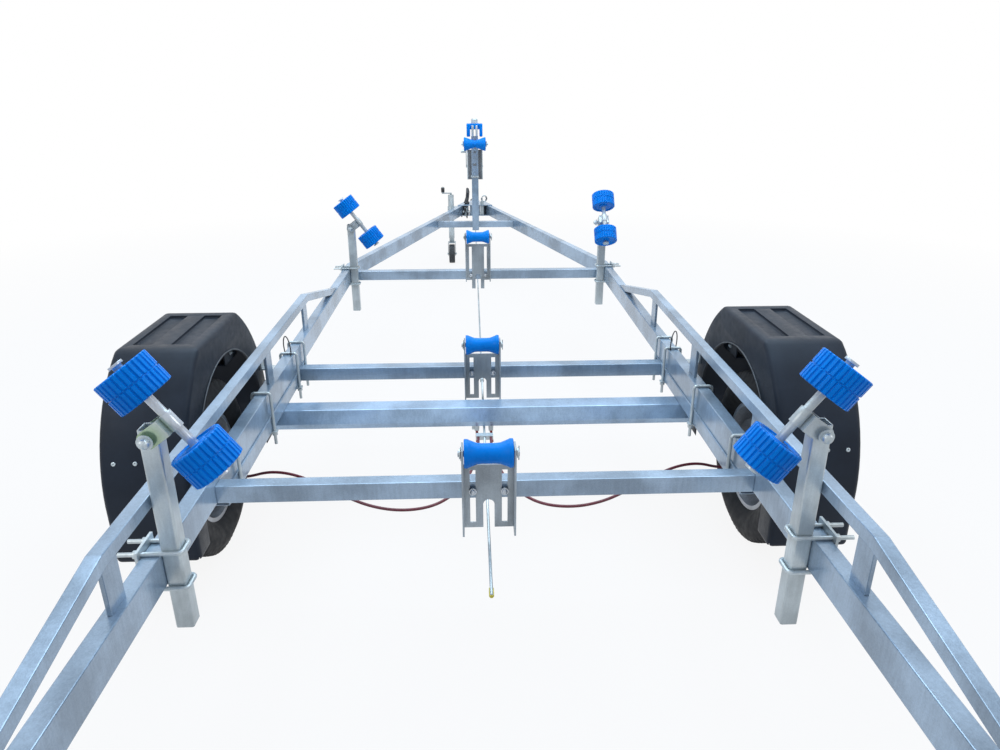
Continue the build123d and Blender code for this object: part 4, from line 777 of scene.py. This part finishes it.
# ---- Keel rollers: a split pin through each end of the pins, and a bright head over each bracket's bolts
# the bright head starts 11 mm behind the crossbeam, past the bracket's plate and on the CAD bolt's head
KEEL_BOLT_X, KEEL_BOLT_STANDOFF = 0.042, 0.011
WASHER_THICKNESS, WASHER_INNER, WASHER_OUTER = 0.003, 0.0081, 0.0135
SPLIT_PIN_RADIUS, SPLIT_PIN_LENGTH = 0.0016, 0.040
for row in ROWS:
    low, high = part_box(f"keel_roller_{row}")
    middle = middle_of(low, high)
    pin_x = (high[0] - low[0]) / 2 + 0.011

    def make_split_pins(shape):
        for end in (-1, 1):
            x = end * pin_x
            turned(shape, (x - WASHER_THICKNESS / 2, middle[1], middle[2]), (1, 0, 0),
                   [(0.0, WASHER_INNER), (0.0, WASHER_OUTER), (WASHER_THICKNESS, WASHER_OUTER),
                    (WASHER_THICKNESS, WASHER_INNER)], 32)
            turned(shape, (x + 0.0032, middle[1], middle[2] - SPLIT_PIN_LENGTH / 2), (0, 0, 1),
                   [(0.0, 0.0004), (0.0, SPLIT_PIN_RADIUS), (SPLIT_PIN_LENGTH, SPLIT_PIN_RADIUS),
                    (SPLIT_PIN_LENGTH, 0.0004)], 10)

    cross_low, cross_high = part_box(f"{row}_crossbeam")

    def make_bolt_heads(shape):
        for end in (-1, 1):
            dome(shape, (end * KEEL_BOLT_X, cross_low[1] - KEEL_BOLT_STANDOFF, (cross_low[2] + cross_high[2]) / 2),
                 (0, -1, 0), 0.0070, 0.007)

    add_made(f"split_pins_{row}", make_split_pins, "frame", "zinc_plate")
    add_made(f"bolt_heads_{row}", make_bolt_heads, "frame", "zinc_plate", BOLT_ZINC)

# ---- Light board: lenses in two colours and a blank plate
low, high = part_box("light_board")
LAMP_WIDTH, LENS_INSET, LENS_OUT = 0.210, 0.012, 0.004
NUMBER_PLATE_HALF, NUMBER_PLATE_INSET = 0.258, 0.007
for side, sign in SIDES:
    for part, span, material in (("amber", (0.145, 0.205), AMBER_LENS), ("red", (0.010, 0.140), RED_LENS)):
        inner, outer = sorted(sign * (high[0] - LAMP_WIDTH + distance) for distance in span)

        def make_lens(shape):
            block(shape, (inner, low[1] - LENS_OUT, low[2] + LENS_INSET),
                  (outer, low[1] + 0.004, high[2] - LENS_INSET), 0.003)

        add_made(f"lens_{part}_{side}", make_lens, "frame", "board_plastic", material)


def make_plate(shape):
    block(shape, (-NUMBER_PLATE_HALF, low[1] + 0.0105, low[2] + NUMBER_PLATE_INSET),
          (NUMBER_PLATE_HALF, low[1] + 0.0128, high[2] - NUMBER_PLATE_INSET), 0.001)


add_made("blank_number_plate", make_plate, "frame", "board_plastic", BLANK_PLATE)

# ---- CAD nodes: their slot's material, and rounded edges on those that still show
WELD_WITHIN = 0.00002
# the axle's zinc carries a painted sky reflection in its colour
LOOKS = {"overrun_box": MATERIALS["galvanised"], "swivel_bracket_rear_left": GREEN_ZINC, "winch_frame": DARK_STEEL,
         "axle_tube": SKY_SHEEN_ZINC, "keel_brackets": BRACKET_ZINC}
ROUNDED = {"galvanised": 0.0022, "zinc_plate": 0.0010, "coupling_paint": 0.0025, "board_plastic": 0.003,
           "rim_steel": 0.0012, "brake_steel": 0.0012, "jockey_rubber": 0.004}
for name, node in NODES.items():
    slot = SLOT_OF[name]
    node.data.materials.clear()
    node.data.materials.append(LOOKS.get(name, MATERIALS[slot]))
    if not node.hide_render and slot in ROUNDED:
        weld = node.modifiers.new("weld", "WELD")
        weld.merge_threshold = WELD_WITHIN
        edge = node.modifiers.new("edge", "BEVEL")
        edge.width = ROUNDED[slot]
        edge.segments = 2
        edge.limit_method = "ANGLE"
        edge.angle_limit = math.radians(35)


# ---- Floor, backdrop and light ---------------------------------------------------------------
def seen_directly(nodes, links, path):
    """One for camera, glossy and transmission rays, so that metal shows the pale backdrop too."""
    total = path.outputs["Is Camera Ray"]
    for kind in ("Is Glossy Ray", "Is Transmission Ray"):
        node = nodes.new("ShaderNodeMath")
        node.operation = "MAXIMUM"
        links.new(total, node.inputs[0])
        links.new(path.outputs[kind], node.inputs[1])
        total = node.outputs[0]
    return total


# the floor turns fully white between these distances from the trailer's middle
NEAR_FLOOR, FAR_FLOOR, NEAR_WHITENESS = 2.5, 6.0, 0.90
FLOOR_HALF = 60.0
floor_mesh = bpy.data.meshes.new("floor")
floor_corners = [(x * FLOOR_HALF, y * FLOOR_HALF, 0) for x, y in ((-1, -1), (1, -1), (1, 1), (-1, 1))]
floor_mesh.from_pydata(floor_corners, [], [(0, 1, 2, 3)])
floor = bpy.data.objects.new("floor", floor_mesh)
SCENE.collection.objects.link(floor)
floor_material = bpy.data.materials.new("floor")
floor_material.use_nodes = True
nodes, links = floor_material.node_tree.nodes, floor_material.node_tree.links
nodes.clear()
output = nodes.new("ShaderNodeOutputMaterial")
diffuse = nodes.new("ShaderNodeBsdfDiffuse")
diffuse.inputs["Color"].default_value = (0.50, 0.50, 0.51, 1)
glow = nodes.new("ShaderNodeEmission")
glow.inputs["Color"].default_value = (1, 1, 1, 1)
mixer = nodes.new("ShaderNodeMixShader")
path = nodes.new("ShaderNodeLightPath")
share = nodes.new("ShaderNodeMath")
share.operation = "MULTIPLY"
place = nodes.new("ShaderNodeTexCoord")
distance = nodes.new("ShaderNodeVectorMath")
distance.operation = "LENGTH"
links.new(place.outputs["Object"], distance.inputs[0])
whiteness = nodes.new("ShaderNodeMapRange")
whiteness.inputs["From Min"].default_value = NEAR_FLOOR
whiteness.inputs["From Max"].default_value = FAR_FLOOR
whiteness.inputs["To Min"].default_value = NEAR_WHITENESS
whiteness.inputs["To Max"].default_value = 1.0
links.new(distance.outputs["Value"], whiteness.inputs["Value"])
links.new(whiteness.outputs["Result"], share.inputs[1])
links.new(seen_directly(nodes, links, path), share.inputs[0])
links.new(share.outputs[0], mixer.inputs[0])
links.new(diffuse.outputs[0], mixer.inputs[1])
links.new(glow.outputs[0], mixer.inputs[2])
links.new(mixer.outputs[0], output.inputs[0])
floor_mesh.materials.append(floor_material)

world = bpy.data.worlds.new("world")
SCENE.world = world
world.use_nodes = True
nodes, links = world.node_tree.nodes, world.node_tree.links
nodes.clear()
output = nodes.new("ShaderNodeOutputWorld")
soft = nodes.new("ShaderNodeBackground")
soft.inputs["Strength"].default_value = 0.85
direction = nodes.new("ShaderNodeTexCoord")
split = nodes.new("ShaderNodeSeparateXYZ")
links.new(direction.outputs["Generated"], split.inputs[0])
sky = ramp(nodes, links, split.outputs["Z"],
           (0.0, (0.34, 0.35, 0.36)), (0.16, (0.44, 0.52, 0.66)),
           (0.45, (0.48, 0.64, 0.94)), (1.0, (0.56, 0.74, 1.0)))
links.new(sky, soft.inputs["Color"])
white = nodes.new("ShaderNodeBackground")
white.inputs["Color"].default_value = (1, 1, 1, 1)
white.inputs["Strength"].default_value = 1.0
mixer = nodes.new("ShaderNodeMixShader")
path = nodes.new("ShaderNodeLightPath")
links.new(seen_directly(nodes, links, path), mixer.inputs[0])
links.new(soft.outputs[0], mixer.inputs[1])
links.new(white.outputs[0], mixer.inputs[2])
links.new(mixer.outputs[0], output.inputs[0])

LAMPS_AIM_AT = (0, 0, 0.4)
LAMPS = (
    # name, place, size, power in watts, colour
    ("overhead", (0.0, 0.5, 5.0), 6.0, 400.0, (0.64, 0.83, 1.0)),
    ("left_soft", (-5.0, -4.5, 3.6), 3.0, 70.0, (1.0, 0.98, 0.95)),
    ("right_soft", (5.0, -3.0, 3.6), 3.0, 60.0, (1.0, 0.98, 0.95)),
)
for name, place, size, power, colour in LAMPS:
    light = bpy.data.lights.new(name, "AREA")
    light.size = size
    light.energy = power
    light.color = colour
    lamp = bpy.data.objects.new(name, light)
    lamp.location = place
    lamp.rotation_euler = (Vector(LAMPS_AIM_AT) - Vector(place)).to_track_quat("-Z", "Y").to_euler()
    SCENE.collection.objects.link(lamp)

SCENE.view_settings.view_transform = "Standard"

bpy.context.view_layer.update()
